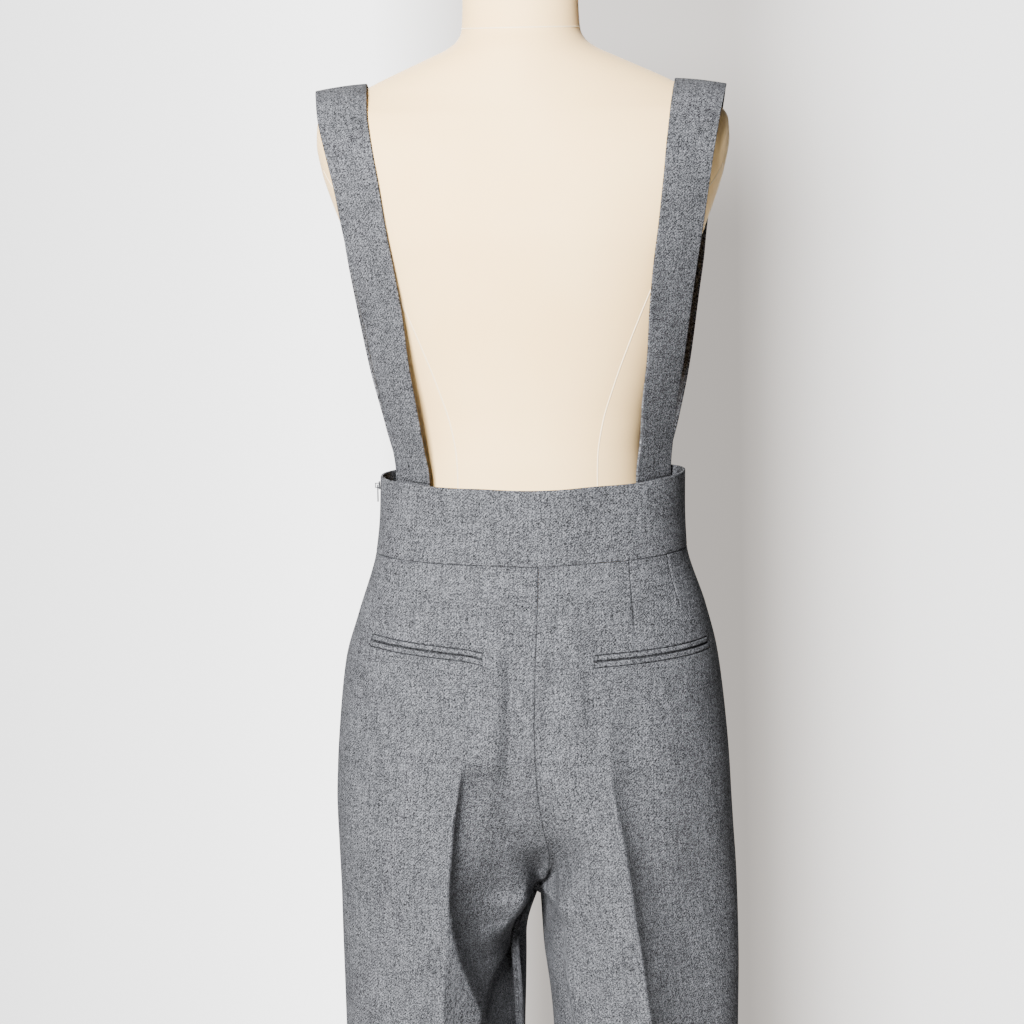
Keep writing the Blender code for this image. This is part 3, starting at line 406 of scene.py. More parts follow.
def relief(face, side, across, level, points):
    # folds, waviness and the pressed crease, less the sewn darts and the pocket's slot
    x, z = points[:, 0], points[:, 2]
    height = foldHeight(x, z, backFolds if face == "back" else frontFolds)
    height += waviness(steamWaves, x, z)
    soft = softStep((level - pressedCrease["softFrom"]) / pressedCrease["softOver"])
    pressed = (1 - soft * pressedCrease["softShare"]) \
        * softStep((level - pressedCrease[face]) / pressedCrease["startOver"])
    spread = np.where(across > 1, pressedCrease["inside"], pressedCrease["outside"])
    height += pressedCrease["rise"] * pressed * np.exp(-abs(across - 1) / spread)
    height *= softStep(across / fades["side"])
    height *= 1 - np.clip(across - 1, 0, 1) ** 6 * np.clip(level - fork + fades["aboveFork"], 0, 1)
    belowBand = softStep((level - bandFoot) / fades["belowBand"])
    height *= fades["bandShare"] + (1 - fades["bandShare"]) * belowBand
    for place, end, depth in darts[face, side]:
        seam = bell(across - place, dartSeam["width"]) * softStep((end - level) / dartSeam["end"])
        height -= depth * seam * (level >= bandFoot)
    if face == "back":
        height -= pockets["recess"] * pocketShare(side, across, level)
    return height


def clothPoints(face, side, across, level):
    points = sectionPoints(face, side, across, level)
    normal = normalsOf(sectionPoints, face, side, across, level)
    moved = points + normal * relief(face, side, across, level, points)[:, None]
    if face == "back":
        drape = swagHeight if side == "left" else rightTurnHeight
        atSeam = np.clip(across - 1, 0, 1) ** 12 * np.clip(level - fades["foldsFrom"], 0, 1)
        moved[:, 1] += drape(points[:, 0], points[:, 2]) * (1 - atSeam) + seatSink(*points.T)
        if side == "right":
            moved[:, 1] += creaseFall(across, points[:, 2])
    return moved


def seamShade(face, side, across, level):
    # painted shade, with real thread in it: darker cloth along the sewn edges and the darts, where
    # thread and the shadow in each seam's groove darken it, and across the pockets' slots, where shade
    # falls under the welts
    shade = seamShadeLines["inner"] * bell(2 - across, seamShadeLines["width"])
    shade += seamShadeLines["side"] * bell(across, seamShadeLines["width"])
    shade += seamShadeLines["band"] * bell(level - bandFoot, seamShadeLines["bandWidth"])
    for place, end, depth in darts[face, side]:
        sewn = softStep((end - level) / dartSeam["shadeEnd"])
        shade += dartSeam["shade"] * depth * bell(across - place, dartSeam["shadeWidth"]) * sewn
    if face == "back":
        # painted shade over the whole of the pocket's slot
        shade += pocketShare(side, across, level)
    return np.clip(shade, 0, 1)


def clothGrid(face, side, across, levels):
    # the outer face of a panel and its normals, as levels by columns
    level, place = np.meshgrid(levels, across, indexing="ij")
    flat = face, side, place.ravel(), level.ravel()
    shape = (*level.shape, 3)
    return clothPoints(*flat).reshape(shape), normalsOf(clothPoints, *flat).reshape(shape)


def lengths(points, axis):
    # running length along a grid
    steps = np.linalg.norm(np.diff(points, axis=axis), axis=2)
    return np.insert(np.cumsum(steps, axis=axis), 0, 0, axis=axis)


def meshFrom(name, points, faces, uv=None, shade=None):
    mesh = bpy.data.meshes.new(name)
    faces = faces if isinstance(faces, list) else faces.tolist()
    mesh.from_pydata((points.reshape(-1, 3) * mm).tolist(), [], faces)
    if uv is not None:
        layer = mesh.uv_layers.new(name="cloth")
        layer.data.foreach_set("uv", (uv.reshape(-1, 2) * mm)[np.ravel(faces)].ravel())
    if shade is not None:
        mesh.attributes.new("seamShade", "FLOAT", "POINT").data.foreach_set("value", shade.ravel())
    mesh.shade_smooth()
    return mesh


def quads(rows, columns, loopRows=False, loopColumns=False, flip=False):
    i = np.arange(rows if loopRows else rows - 1)[:, None]
    j = np.arange(columns if loopColumns else columns - 1)[None, :]
    down, right = (i + 1) % rows, (j + 1) % columns
    corners = [i * columns + j, down * columns + j, down * columns + right, i * columns + right]
    faces = np.stack(corners, -1).reshape(-1, 4)
    return faces[:, ::-1] if flip else faces


def addPiece(name, mesh, material, body=mainBody, replaced=()):
    piece = bpy.data.objects.new(name, mesh)
    bpy.context.scene.collection.objects.link(piece)
    mesh.materials.append(material)
    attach(piece, body)
    if replaced:
        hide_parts(*replaced)
    return piece


def reworkMesh(mesh, work):
    shape = bmesh.new()
    shape.from_mesh(mesh)
    work(shape)
    shape.to_mesh(mesh)
    shape.free()


def addClosed(name, points, material, replaced=(), loopRows=False, sharpAngle=None):
    # rings carried along a path, with a cap at each end unless the path closes on itself
    rows, ring = points.shape[:2]
    faces = quads(rows, ring, loopRows=loopRows, loopColumns=True).tolist()
    if not loopRows:
        last = (rows - 1) * ring
        faces += [list(range(ring)), list(range(last, last + ring))[::-1]]
    mesh = meshFrom(name, points, faces)
    if sharpAngle:
        mesh.set_sharp_from_angle(angle=math.radians(sharpAngle))
    reworkMesh(mesh, lambda shape: bmesh.ops.recalc_face_normals(shape, faces=shape.faces))
    addPiece(name, mesh, material, replaced=replaced)


def ringPoints(radius, height, steps):
    # a circle of each radius at each height
    turn = around(steps)
    return np.stack([radius[:, None] * np.cos(turn), radius[:, None] * np.sin(turn),
                     np.broadcast_to(height[:, None], (len(radius), steps))], -1)


def roundEdges(piece, width, angle):
    edge = piece.modifiers.new("rounded edge", "BEVEL")
    edge.width, edge.segments, edge.angle_limit = width * mm, 3, math.radians(angle)


def thicken(piece, wall, offset=-1.0, bevel=0.0):
    wallModifier = piece.modifiers.new("wall", "SOLIDIFY")
    wallModifier.thickness, wallModifier.offset = wall * mm, offset
    if bevel:
        roundEdges(piece, bevel, 50)


def addCloth(name, points, faces, uv, shade, replaced, wall, offset=-1.0, bevel=0.0):
    # a thin wool piece: its outer face by formula, its wall by a modifier
    piece = addPiece(name, meshFrom(name, points, faces, uv, shade), wool, replaced=replaced)
    thicken(piece, wall, offset, bevel)
    return piece


def toLinear(text):
    values = [int(text[i:i + 2], 16) / 255 for i in (0, 2, 4)]
    return [v / 12.92 if v <= 0.04045 else ((v + 0.055) / 1.055) ** 2.4 for v in values] + [1.0]


def addNode(tree, kind, links=None, values=None, **settings):
    # one node with its settings, its fixed values and what feeds it: a socket, or a node's first
    # output
    node = tree.nodes.new("ShaderNode" + kind)
    for name, value in settings.items():
        setattr(node, name, value)
    for socket, value in (values or {}).items():
        node.inputs[socket].default_value = value
    for socket, source in (links or {}).items():
        tree.links.new(getattr(source, "outputs", [source])[0], node.inputs[socket])
    return node


def setRamp(node, stops):
    ramp = node.color_ramp
    while len(ramp.elements) < len(stops):
        ramp.elements.new(0.5)
    for element, (place, colour) in zip(ramp.elements, stops):
        element.position, element.color = place, colour


def newFinish(name, **values):
    material = bpy.data.materials.new(name)
    material.use_nodes = True
    shader = material.node_tree.nodes["Principled BSDF"]
    for socket, value in values.items():
        shader.inputs[socket.replace("_", " ")].default_value = value
    return material, material.node_tree, shader


def waveScale(size):
    # the wave texture's scale for ribs this many millimetres apart
    return 2 * math.pi / 20 / (size * mm)


def patternedFinish(name, pattern, tones, raised=None, bump=None, roughness=None, **values):
    # a finish whose colour runs between two tones over one pattern, with a relief of some strength
    # and depth from another, and a roughness that may follow the first; a pattern is the kind of
    # texture and its values
    material, tree, shader = newFinish(name, **values)
    place = addNode(tree, "TexCoord").outputs["Object"]
    made = []
    for kind, fixed in filter(None, (pattern, raised)):
        level = {"bands_direction": "Z"} if kind == "TexWave" else {}
        made.append(addNode(tree, kind, {"Vector": place}, fixed, **level).outputs["Fac"])
    tint = addNode(tree, "ValToRGB", {"Fac": made[0]})
    setRamp(tint, [(spot, toLinear(tone)) for spot, tone in tones])
    tree.links.new(tint.outputs["Color"], shader.inputs["Base Color"])
    if raised:
        strength, depth = bump
        relief = addNode(tree, "Bump", {"Height": made[1]},
                         {"Strength": strength, "Distance": depth * mm})
        tree.links.new(relief.outputs["Normal"], shader.inputs["Normal"])
    if roughness:
        least, most = roughness
        rough = addNode(tree, "MapRange", {"Value": made[0]}, {"To Min": least, "To Max": most})
        tree.links.new(rough.outputs["Result"], shader.inputs["Roughness"])
    return material


def woolTwill():
    # Worsted wool twill, woven from heather yarns: each crossing of two yarns is a shade paler or
    # darker than the next, which reads as a fine grey grain. Slanted ribs run over it, thicker
    # yarns streak it both ways, and a short nap keeps it matt. The real crossings are 0.4 mm apart
    # and the ribs 0.6 mm, so both are drawn two to four times as coarse to show at all.
    wool = {"yarn": 0.66, "rib": 2.3, "ribTurn": 48, "cloud": 30, "streak": (1.6, 34.0),
            "tones": [(0.1, "1b1b1c"), (0.5, "3e3f42"), (0.9, "616266")],
            "ribStrength": 0.4, "ribDepth": 0.3}
    material, tree, shader = newFinish("worsted wool twill, woven", Roughness=1.0,
                                       Specular_IOR_Level=0.06)
    place = addNode(tree, "TexCoord").outputs["UV"]
    crossing = addNode(tree, "VectorMath", {0: place}, {1: [wool["yarn"] * mm] * 3}, operation="SNAP")
    fibres = addNode(tree, "TexWhiteNoise", {"Vector": crossing}, noise_dimensions="2D")
    speckle = addNode(tree, "ValToRGB", {"Fac": fibres})
    setRamp(speckle, [(spot, toLinear(tone)) for spot, tone in wool["tones"]])
    turned = addNode(tree, "Mapping", {"Vector": place},
                     {"Rotation": (0, 0, math.radians(wool["ribTurn"]))})
    ribs = addNode(tree, "TexWave", {"Vector": turned},
                   {"Scale": waveScale(wool["rib"]), "Distortion": 1.5, "Detail": 1.0,
                    "Detail Scale": 2.0})
    fineWay, longWay = (1000 / size for size in wool["streak"])
    stretched = [addNode(tree, "Mapping", {"Vector": place}, {"Scale": scale})
                 for scale in ((fineWay, longWay, 1), (longWay, fineWay, 1))]
    warp, weft = (addNode(tree, "TexNoise", {"Vector": way}, {"Scale": 1.0}, noise_dimensions="2D")
                  for way in stretched)
    clouds = addNode(tree, "TexNoise", {"Vector": place},
                     {"Scale": 1000 / wool["cloud"], "Detail": 3}, noise_dimensions="2D")
    # painted shade: where the seamShade attribute is 1, the cloth's colour is darkened to 0.3 of itself
    seam = addNode(tree, "Attribute", attribute_name="seamShade")
    tone = None
    for source, low, high, darkest, palest in (
            (ribs, 0, 1, 0.84, 1.16), (warp, 0.3, 0.7, 0.78, 1.22), (weft, 0.3, 0.7, 0.86, 1.14),
            (clouds, 0.3, 0.7, 0.92, 1.08), (seam, 0, 1, 1.0, 0.3)):
        share = addNode(tree, "MapRange", {"Value": source.outputs["Fac"]},
                        {"From Min": low, "From Max": high, "To Min": darkest, "To Max": palest})
        tone = addNode(tree, "Math", {0: share, 1: tone}, operation="MULTIPLY") if tone else share
    coloured = addNode(tree, "VectorMath", {0: speckle, "Scale": tone}, operation="SCALE")
    tree.links.new(coloured.outputs["Vector"], shader.inputs["Base Color"])
    bump = addNode(tree, "Bump", {"Height": ribs.outputs["Fac"]},
                   {"Strength": wool["ribStrength"], "Distance": wool["ribDepth"] * mm})
    tree.links.new(bump.outputs["Normal"], shader.inputs["Normal"])
    return material


wool = woolTwill()
# Cotton jersey, knitted and stretched over the form: an ivory skin with hardly any sheen, the rows
# of its 0.9 mm stitches just showing close up.
jersey = patternedFinish(
    "cotton jersey, knitted and stretched", ("TexNoise", {"Scale": 9.0, "Detail": 3.0}),
    [(0.35, "fcd698"), (0.65, "fad190")],
    ("TexWave", {"Scale": waveScale(0.9), "Distortion": 0.6, "Detail": 1.0}), (0.12, 0.2),
    Roughness=0.72, Sheen_Weight=0.08)
# Polyester thread, spun: a paler, slightly glossier cord than the jersey it joins.
thread = patternedFinish("polyester thread, spun", ("TexNoise", {"Scale": 900.0, "Detail": 1.0}),
                         [(0.3, "f4dcb2"), (0.7, "f8e2bb")], Roughness=0.55)
# Zinc alloy, die cast and plated: near black, darkened as painted shade for the shadow the zip's metal
# hangs in; its tone and roughness vary in fine random flecks.
zinc = patternedFinish(
    "zinc alloy, die cast and plated", ("TexNoise", {"Scale": 1400.0, "Detail": 2.0}),
    [(0.35, "333436"), (0.7, "454648")], roughness=(0.38, 0.56), Metallic=1.0, Roughness=0.45,
    Specular_Tint=toLinear("414245"))
# Polyester tape, woven: a dense dark grey plain weave of 0.5 mm threads.
tape = patternedFinish(
    "polyester tape, woven", ("TexWave", {"Scale": waveScale(0.5), "Distortion": 0.4}),
    [(0.2, "3d4043"), (0.8, "5b5f63")], Roughness=0.7)
# Steel, powder coated off white: satin, with the faint orange peel of a baked coat.
paint = patternedFinish(
    "steel, powder coated", ("TexNoise", {"Scale": 14.0, "Detail": 4.0}),
    [(0.3, "e6e4df"), (0.7, "dcd9d2")], ("TexNoise", {"Scale": 480.0, "Detail": 2.0}), (0.15, 0.2),
    Roughness=0.38, Coat_Weight=0.15)
# Polystyrene, moulded: ivory with a fine satin texture from the tool.
plastic = patternedFinish(
    "polystyrene, moulded", ("TexNoise", {"Scale": 900.0, "Detail": 2.0}),
    [(0.3, "e9e0cf"), (0.7, "efe7d9")], ("TexNoise", {"Scale": 900.0, "Detail": 2.0}), (0.2, 0.1),
    Roughness=0.45)
print("finishes: wool, jersey, thread, zinc, tape, paint and plastic")

panelGrid = {  # levels in stretches of first, last and steps, and columns outside and inside
    "back": {
        "levels": [(2, 3.25, 28), (3.25, 3.95, 58), (3.95, 6, 44), (6, 10, 60), (10, 13, 62),
                   (13, 14, 40), (14, 15, 34)],
        "columns": (50, 70)},
    "front": {
        "levels": [(2, 6, 48), (6, 10, 34), (10, 13, 36), (13, 14, 24), (14, 15, 22)],
        "columns": (34, 30)},
    "bandRows": [2.011, 2.03],
    "seamColumns": [0.005, 0.012, 0.992, 1.008, 1.982, 1.992],
    "dartColumns": (-0.012, -0.005, 0, 0.005, 0.012),
    "pocketColumns": (-0.006, 0.006),
}
hemTurn = [  # how far in and how far up each row of the turned-up hem lies
    (0.5, -0.5), (1.6, -0.6), (2.6, 0.6), (2.8, 3.0), (2.8, 18.0), (2.8, 34.0)]


def stretches(parts):
    return np.concatenate([[parts[0][0]]] + [np.linspace(a, b, n + 1)[1:] for a, b, n in parts])


def turnIn(points, normals):
    # the first column dips, the next dips a little, and two more columns run straight inwards
    points, normals = points.copy(), normals.copy()
    points[:, 1] -= normals[:, 1] * cloth["seamDip"] * cloth["softDip"]
    points[:, 0] -= normals[:, 0] * cloth["seamDip"]
    inner = [points[:, 0] - normals[:, 0] * (cloth["seamTurn"] * share)
             for share in (1, cloth["halfTurn"])]
    return (np.concatenate([np.stack(inner, 1), points], axis=1),
            np.concatenate([normals[:, :1], normals[:, :1], normals], axis=1))


def addPanel(face, side):
    outward, depth = ways(face, side)
    outer, inner = panelGrid[face]["columns"]
    extras = panelGrid["seamColumns"] + [
        place + shift for place, _, _ in darts[face, side] for shift in panelGrid["dartColumns"]]
    if face == "back":
        extras += [pockets[side][end][0] + shift
                   for end in ("outer", "inner") for shift in panelGrid["pocketColumns"]]
    columns = np.unique(np.concatenate([np.linspace(0, 1, outer), 1 + np.linspace(0, 1, inner), extras]))
    levels = np.unique(np.concatenate([stretches(panelGrid[face]["levels"]), panelGrid["bandRows"]]))
    points, normals = clothGrid(face, side, columns, levels)
    shade = seamShade(face, side, *np.meshgrid(columns, levels))
    crease = int(np.searchsorted(columns, 1.0 - 1e-9)) + 2
    # turn in the side seam, the inner seam and the edge under the band
    for seen in (lambda grid: grid, lambda grid: grid[:, ::-1], lambda grid: grid.transpose(1, 0, 2)):
        points, normals = (seen(grid) for grid in turnIn(seen(points), seen(normals)))
    last, inwards = points[-1], normals[-1] * (1, 1, 0)
    hem = [last - inwards * inset + np.array([0, 0, rise]) for inset, rise in hemTurn]
    points = np.concatenate([points, np.stack(hem)])
    run = lengths(points, 1)
    uv = np.stack([outward * depth * (run - run[:, crease:crease + 1]), -lengths(points, 0)], -1)
    faces = quads(*points.shape[:2], flip=outward * depth < 0)
    shade = np.pad(shade, ((2, len(hem)), (2, 2)), "edge")
    piece = addCloth(f"{face}Leg{side.title()}", points, faces, uv, shade,
                     (f"{face}_panel_{side}",), cloth["wall"])


for quarter in lines:
    addPanel(*quarter)
print("leg panels: four")

band = {"wall": 2.4, "bevel": 0.8, "levels": 25, "columns": (56, 40), "flat": (0.378, 0.070),
        "settle": 0.35, "edgeColumns": 8.0, "waves": [(0.35, 17, 0, 1.2), (0.25, 9.5, 3, 0)]}


def addBand(face):
    levels = np.linspace(bandTop, bandFoot, band["levels"])
    outer, inner = band["columns"]
    columns = np.concatenate([np.linspace(0, 1, outer), 1 + np.linspace(0, 1, inner)[1:]])
    left, right = (clothGrid(face, side, columns, levels)[0] for side in sides)
    left[:, -1] = (left[:, -1] + right[:, -1]) / 2
    points = np.concatenate([left, right[:, -2::-1]], axis=1)
    points[:, :, 2] += cloth["bandSeamGap"]
    # the pressed top edge leans in and the foot stands a little proud of the seam below it
    share = np.linspace(0, 1, len(levels))[:, None]
    lean = band["settle"] * np.cos(share * math.pi * 2)
    lean = lean + waviness(band["waves"], points[:, :, 0], share) * np.sin(share * math.pi)
    column = np.arange(points.shape[1])
    lean *= softStep(np.minimum(column, column[::-1]) / band["edgeColumns"])
    points[:, :, :2] += unitRows(points[:, :, :2]) * lean[:, :, None]
    run = lengths(points, 1)
    uv = np.stack([-run if face == "front" else run, points[:, :, 2]], -1)
    faces = quads(*points.shape[:2], flip=face == "front")
    piece = addCloth(f"waistband{face.title()}", points, faces, uv, None,
                     (f"waistband_{face}",), band["wall"], bevel=band["bevel"])


addBand("back")
addBand("front")
print("waistband: back and front")

strap = {"width": 46.0, "wall": 2.2, "bevel": 0.8, "stations": 480, "columns": 17,
         "flat": (0.046, 0.862), "ripple": 0.5, "waves": [(0.5, 37, 2, 0), (0.35, 21, 5, 1)],
         "cup": 0.7, "fade": 60, "shade": 0.95, "shadeAbove": 0.8, "shadeWidth": 1.3}
# x, y, z, yaw, droop, sway
strapPath = [
    (106, 44, 1108, 47, 0, -4.5), (106, 44.5, 1146, 48, 0, -4.5), (109.5, 47.5, 1178, 50, 0, -4),
    (114.5, 52.5, 1214, 47, 0, -2.5), (120.4, 58, 1250, 44, 0, -2), (126.5, 64.5, 1300, 37, 0, -1),
    (131.7, 68.5, 1334, 34, 0, 0), (137.8, 71.5, 1370, 31, 0, 0.5), (143.5, 70.5, 1408, 27, 1, 1),
    (148.5, 64, 1437, 22, 3, 2), (153.5, 50, 1463, 16, 5, 2.5), (157, 27, 1483.5, 8, 6.5, 1.5),
    (159, 0, 1490.8, 0, 7, 1), (159, -27, 1483.5, -8, 6.5, 1), (157, -47.5, 1463, -16, 5, 1),
    (154, -60, 1437, -22, 3, 1), (150.5, -67.5, 1408, -28, 1, 1), (146, -69.8, 1361, -35, 0, 1),
    (143, -66.5, 1334, -38, 0, 0.5), (138.5, -60.5, 1303, -42, 0, 0),
    (128.5, -53, 1240, -46, 0, -1.5), (116.5, -47.5, 1188, -48, 0, -2.5),
    (107.5, -43.5, 1146, -50, 0, -2.5), (106.5, -43, 1108, -50, 0, -2.5)]


def addStrap(side):
    # the inner face of the strap: its middle line with the width carried along it
    outward = 1.0 if side == "left" else -1.0
    place = np.linspace(0, 1, strap["stations"])
    path = smooth(strapPath, place * (len(strapPath) - 1))
    middle = path[:, :3] * (outward, 1, 1) + np.outer(path[:, 5], (1, 0, 0))
    yaw, droop = np.radians(path[:, 3:5].T)
    width = np.stack([outward * np.cos(yaw) * np.cos(droop), -np.sin(yaw) * np.cos(droop),
                      -np.sin(droop)], -1)
    share = np.linspace(-0.5, 0.5, strap["columns"])
    points = middle[:, None] + (share * strap["width"])[:, None] * width[:, None]
    normal = unitRows(np.cross(np.gradient(points, axis=0), width[:, None]) * outward)
    run = lengths(points, 0)
    lift = waviness(strap["waves"], run, share) * strap["ripple"] - strap["cup"] * (2 * share) ** 2
    fade = np.minimum(1, np.minimum(run, run[-1:] - run) / strap["fade"])
    points = points + normal * (lift * fade)[:, :, None]
    uv = np.stack([np.broadcast_to(share * strap["width"] * outward, run.shape), -run], -1)
    # painted shadow: a dark line on the strap where it goes down behind the waistband
    shade = np.zeros(run.shape)
    for face, half in (("back", points[:, :, 1] > 0), ("front", points[:, :, 1] < 0)):
        edge = clothGrid(face, side, np.linspace(0.05, 1.95, 80), np.array([bandTop]))[0][0]
        edge = edge[np.argsort(edge[:, 0])]
        bandEdge = np.interp(points[:, :, 0], edge[:, 0], edge[:, 2]) + cloth["bandSeamGap"]
        above = points[:, :, 2] - bandEdge - strap["shadeAbove"]
        shade += half * strap["shade"] * bell(above, strap["shadeWidth"])
    faces = quads(*points.shape[:2], flip=side == "right")
    piece = addCloth(f"strap{side.title()}", points, faces, uv, np.clip(shade, 0, 1),
                     (f"strap_{side}",), strap["wall"], offset=1.0, bevel=strap["bevel"])


for side in sides:
    addStrap(side)
print("straps: two")

welt = {"wall": 0.9, "proud": 0.3, "edgeDrop": 1.3, "columns": 90, "rows": 11,
        "flat": (0.106, 0.0124), "over": 0.004, "endRound": 0.012, "patchGap": 20, "shade": 1.2}


def addWelts(side):
    # both welts of a pocket are cut as one patch, slit along its middle
    (start, startLevel), (end, endLevel) = pockets[side]["outer"], pockets[side]["inner"]
    share = np.concatenate([[-welt["over"]], np.linspace(0, 1, welt["columns"]), [1 + welt["over"]]])
    across = start + share * (end - start)
    middle = startLevel + share * (endLevel - startLevel)
    step, height = (pockets[size] / pockets["levelHeight"] for size in ("weltPitch", "weltHeight"))
    spread = np.sin(np.linspace(-math.pi / 2, math.pi / 2, welt["rows"]))[:, None]
    ends = np.minimum(share + welt["over"], 1 + welt["over"] - share) / welt["endRound"]
    roll = (1 - abs(spread) ** 5) * softStep(ends)[None]
    points, uv, faces = [], [], []
    for shift in (-step / 2, step / 2):
        level = middle[None] + shift + spread * height / 2
        flat = "back", side, np.broadcast_to(across, level.shape).ravel(), level.ravel()
        base = sectionPoints(*flat)
        lift = relief(*flat, base) + pockets["recess"] + welt["proud"]
        lift -= welt["edgeDrop"] * (1 - roll).ravel()
        part = (base + normalsOf(sectionPoints, *flat) * lift[:, None]).reshape(*level.shape, 3)
        faces.append(quads(*level.shape, flip=side == "right") + len(points) * level.size)
        points.append(part)
        down = -lengths(part, 0) - shift / step * welt["patchGap"]
        uv.append(np.stack([lengths(part, 1), down], -1))
    # painted shade along the welts' rolled edges, where they turn down into the slot
    shade = np.clip(welt["shade"] * (1 - roll), 0, 1) ** 2
    replaced = f"pocket_welt_upper_{side}", f"pocket_welt_lower_{side}"
    piece = addCloth(f"pocketWelts{side.title()}", np.stack(points), np.concatenate(faces),
                     np.stack(uv), np.stack([shade, shade]), replaced, welt["wall"])


for side in sides:
    addWelts(side)
print("pockets: four welts")

form = {"rows": 210, "turns": 200, "sharp": 60, "lookUp": 2000}
# z, half width, depth of the back, depth of the front, power of the superellipse
formSections = [
    (1590, 51, 42, 62, 2), (1562, 51.3, 46, 60, 2), (1540, 52.5, 51, 58, 2),
    (1531, 56.5, 56, 58, 2), (1524, 65, 60, 58, 1.9), (1516, 82, 63, 58, 1.75),
    (1507, 102, 66, 59, 1.65), (1497.5, 123, 69, 61, 1.6), (1487, 144, 73, 65, 1.6),
    (1476.5, 164, 77, 70, 1.7), (1468, 177, 81, 75, 1.85), (1458, 182.3, 85, 80, 2),
    (1442, 183, 91, 88, 2.25), (1417, 178.5, 97, 97, 2.4), (1390, 170, 101, 107, 2.4),
    (1362, 159.5, 103, 117, 2.4), (1330, 149, 101, 125, 2.3), (1300, 140, 97, 128, 2.25),
    (1265, 128.5, 91, 120, 2.2), (1230, 116.5, 85, 105, 2.15), (1195, 107, 80, 93, 2.1),
    (1165, 102.5, 78, 87, 2.1), (1140, 102, 78, 85, 2.1), (1105, 107, 82, 87, 2.1),
    (1070, 119, 88, 89, 2.1), (1030, 135, 95, 91, 2.15), (985, 148, 102, 92, 2.25),
    (940, 154, 105, 91, 2.3), (900, 153, 101, 87, 2.3), (876, 148, 93, 82, 2.3),
    (860, 140, 84, 76, 2.3), (851, 130, 75, 69, 2.3), (847, 118, 66, 61, 2.3)]


def formPoints(row, angle):
    # a superellipse at each height: half width and depth times the angle's powers
    z, halfWidth, back, front, power = smooth(formSections, row).T
    cosine, sine = np.cos(angle), np.sin(angle)
    x = halfWidth * np.sign(cosine) * abs(cosine) ** (2 / power)
    y = np.where(sine > 0, back, front) * np.sign(sine) * abs(sine) ** (2 / power)
    return np.stack([x, y, z], -1)


def formRow(z):
    # the fractional row of the sections at a height
    row = np.linspace(0, len(formSections) - 1, form["lookUp"])
    return np.interp(-np.asarray(z, float), -smooth(formSections, row)[:, 0], row)


def addForm():
    # the cover's rings, each end closed by a fan of triangles round its middle
    rows, turns = form["rows"], form["turns"]
    row, angle = np.meshgrid(np.linspace(0, len(formSections) - 1, rows), around(turns), indexing="ij")
    points = formPoints(row.ravel(), angle.ravel())
    count, base = rows * turns, (rows - 1) * turns
    points = np.vstack([points, points[:turns].mean(0), points[base:].mean(0)])
    faces = quads(rows, turns, loopColumns=True).tolist()
    for turn in range(turns):
        after = (turn + 1) % turns
        faces += [[count, turn, after], [count + 1, base + after, base + turn]]
    mesh = meshFrom("formCover", points, faces)
    mesh.set_sharp_from_angle(angle=math.radians(form["sharp"]))
    addPiece("formCover", mesh, jersey, replaced=("dress_form",))


seamRidge = {"width": 1.5, "height": 0.3, "sides": 8, "stations": 220, "step": 0.01,
             "neckHeight": 1541.0, "neckStations": 160}
# z and angle in degrees, 0 at the wearer's left and 90 at the back; all but the middle seam have
# their mirror image too
formSeams = {
    "FrontMiddle": [(1540, 270), (1300, 270), (1100, 270), (850, 270)],
    "Back": [(1420, 12), (1380, 30), (1320, 41), (1240, 49), (1150, 54), (1000, 52), (850, 50)],
    "Front": [(1470, 340), (1400, 325), (1310, 312), (1200, 304), (1000, 306), (850, 308)],
    "Side": [(1400, 0), (1200, 0), (1000, 0), (850, 0)],
}


def addFormSeam(name, z, angle, closed=False):
    # a low rounded ridge along a path on the form
    path = formPoints(formRow(z), angle)
    step = seamRidge["step"]
    aside = formPoints(formRow(z), angle + step) - formPoints(formRow(z), angle - step)
    below = formPoints(formRow(z - 1), angle) - formPoints(formRow(z + 1), angle)
    normal = np.cross(below, aside)
    normal = unitRows(normal * np.sign((normal[:, :2] * path[:, :2]).sum(1))[:, None])
    along = np.roll(path, -1, 0) - np.roll(path, 1, 0) if closed else np.gradient(path, axis=0)
    width = unitRows(np.cross(along, normal))
    turn = around(seamRidge["sides"])
    points = path[:, None] + width[:, None] * (np.cos(turn) * seamRidge["width"] / 2)[:, None]
    points = points + normal[:, None] * (np.sin(turn) * seamRidge["height"])[:, None]
    addClosed(f"formSeam{name}", points, thread, loopRows=closed)


def addFormSeams():
    for name, path in formSeams.items():
        z, angle = smooth(path, np.linspace(0, len(path) - 1, seamRidge["stations"])).T
        if name == "FrontMiddle":
            addFormSeam(name, z, np.radians(angle))
        else:
            addFormSeam(f"{name}Right", z, np.radians(180 - angle))
            addFormSeam(f"{name}Left", z, np.radians(angle))
    turn = around(seamRidge["neckStations"])
    addFormSeam("Neck", np.full_like(turn, seamRidge["neckHeight"]), turn, closed=True)


addForm()
addFormSeams()
print("dress form: cover and seams")

stand = {"baseRadius": 190.0, "baseHeight": 6.0, "baseEdge": 2.0, "poleX": -97.0, "poleRadius": 12.5,
         "collarRadius": 32.0, "collarHeight": 30.0, "socket": 6.0, "formFoot": 847.0, "gap": 0.3,
         "capRadius": 50.5, "capHeight": 12.0, "capEdge": 3.5, "capY": -10.0, "capFoot": 1590.3,
         "sharp": 35}


def addTurned(name, profile, centre, steps, material, node):
    # a profile of radius and height, from the top down, carried round the axis
    points = ringPoints(*np.array(profile, float).T, steps) + centre
    addClosed(name, points, material, (node,), sharpAngle=stand["sharp"])


def roundedDisc(radius, top, foot, edge, turns=6):
    upper = [(radius - edge + edge * math.sin(a), top - edge + edge * math.cos(a))
             for a in np.linspace(0, math.pi / 2, turns + 1)]
    return [*upper, *[(r, foot + top - z) for r, z in reversed(upper)]]


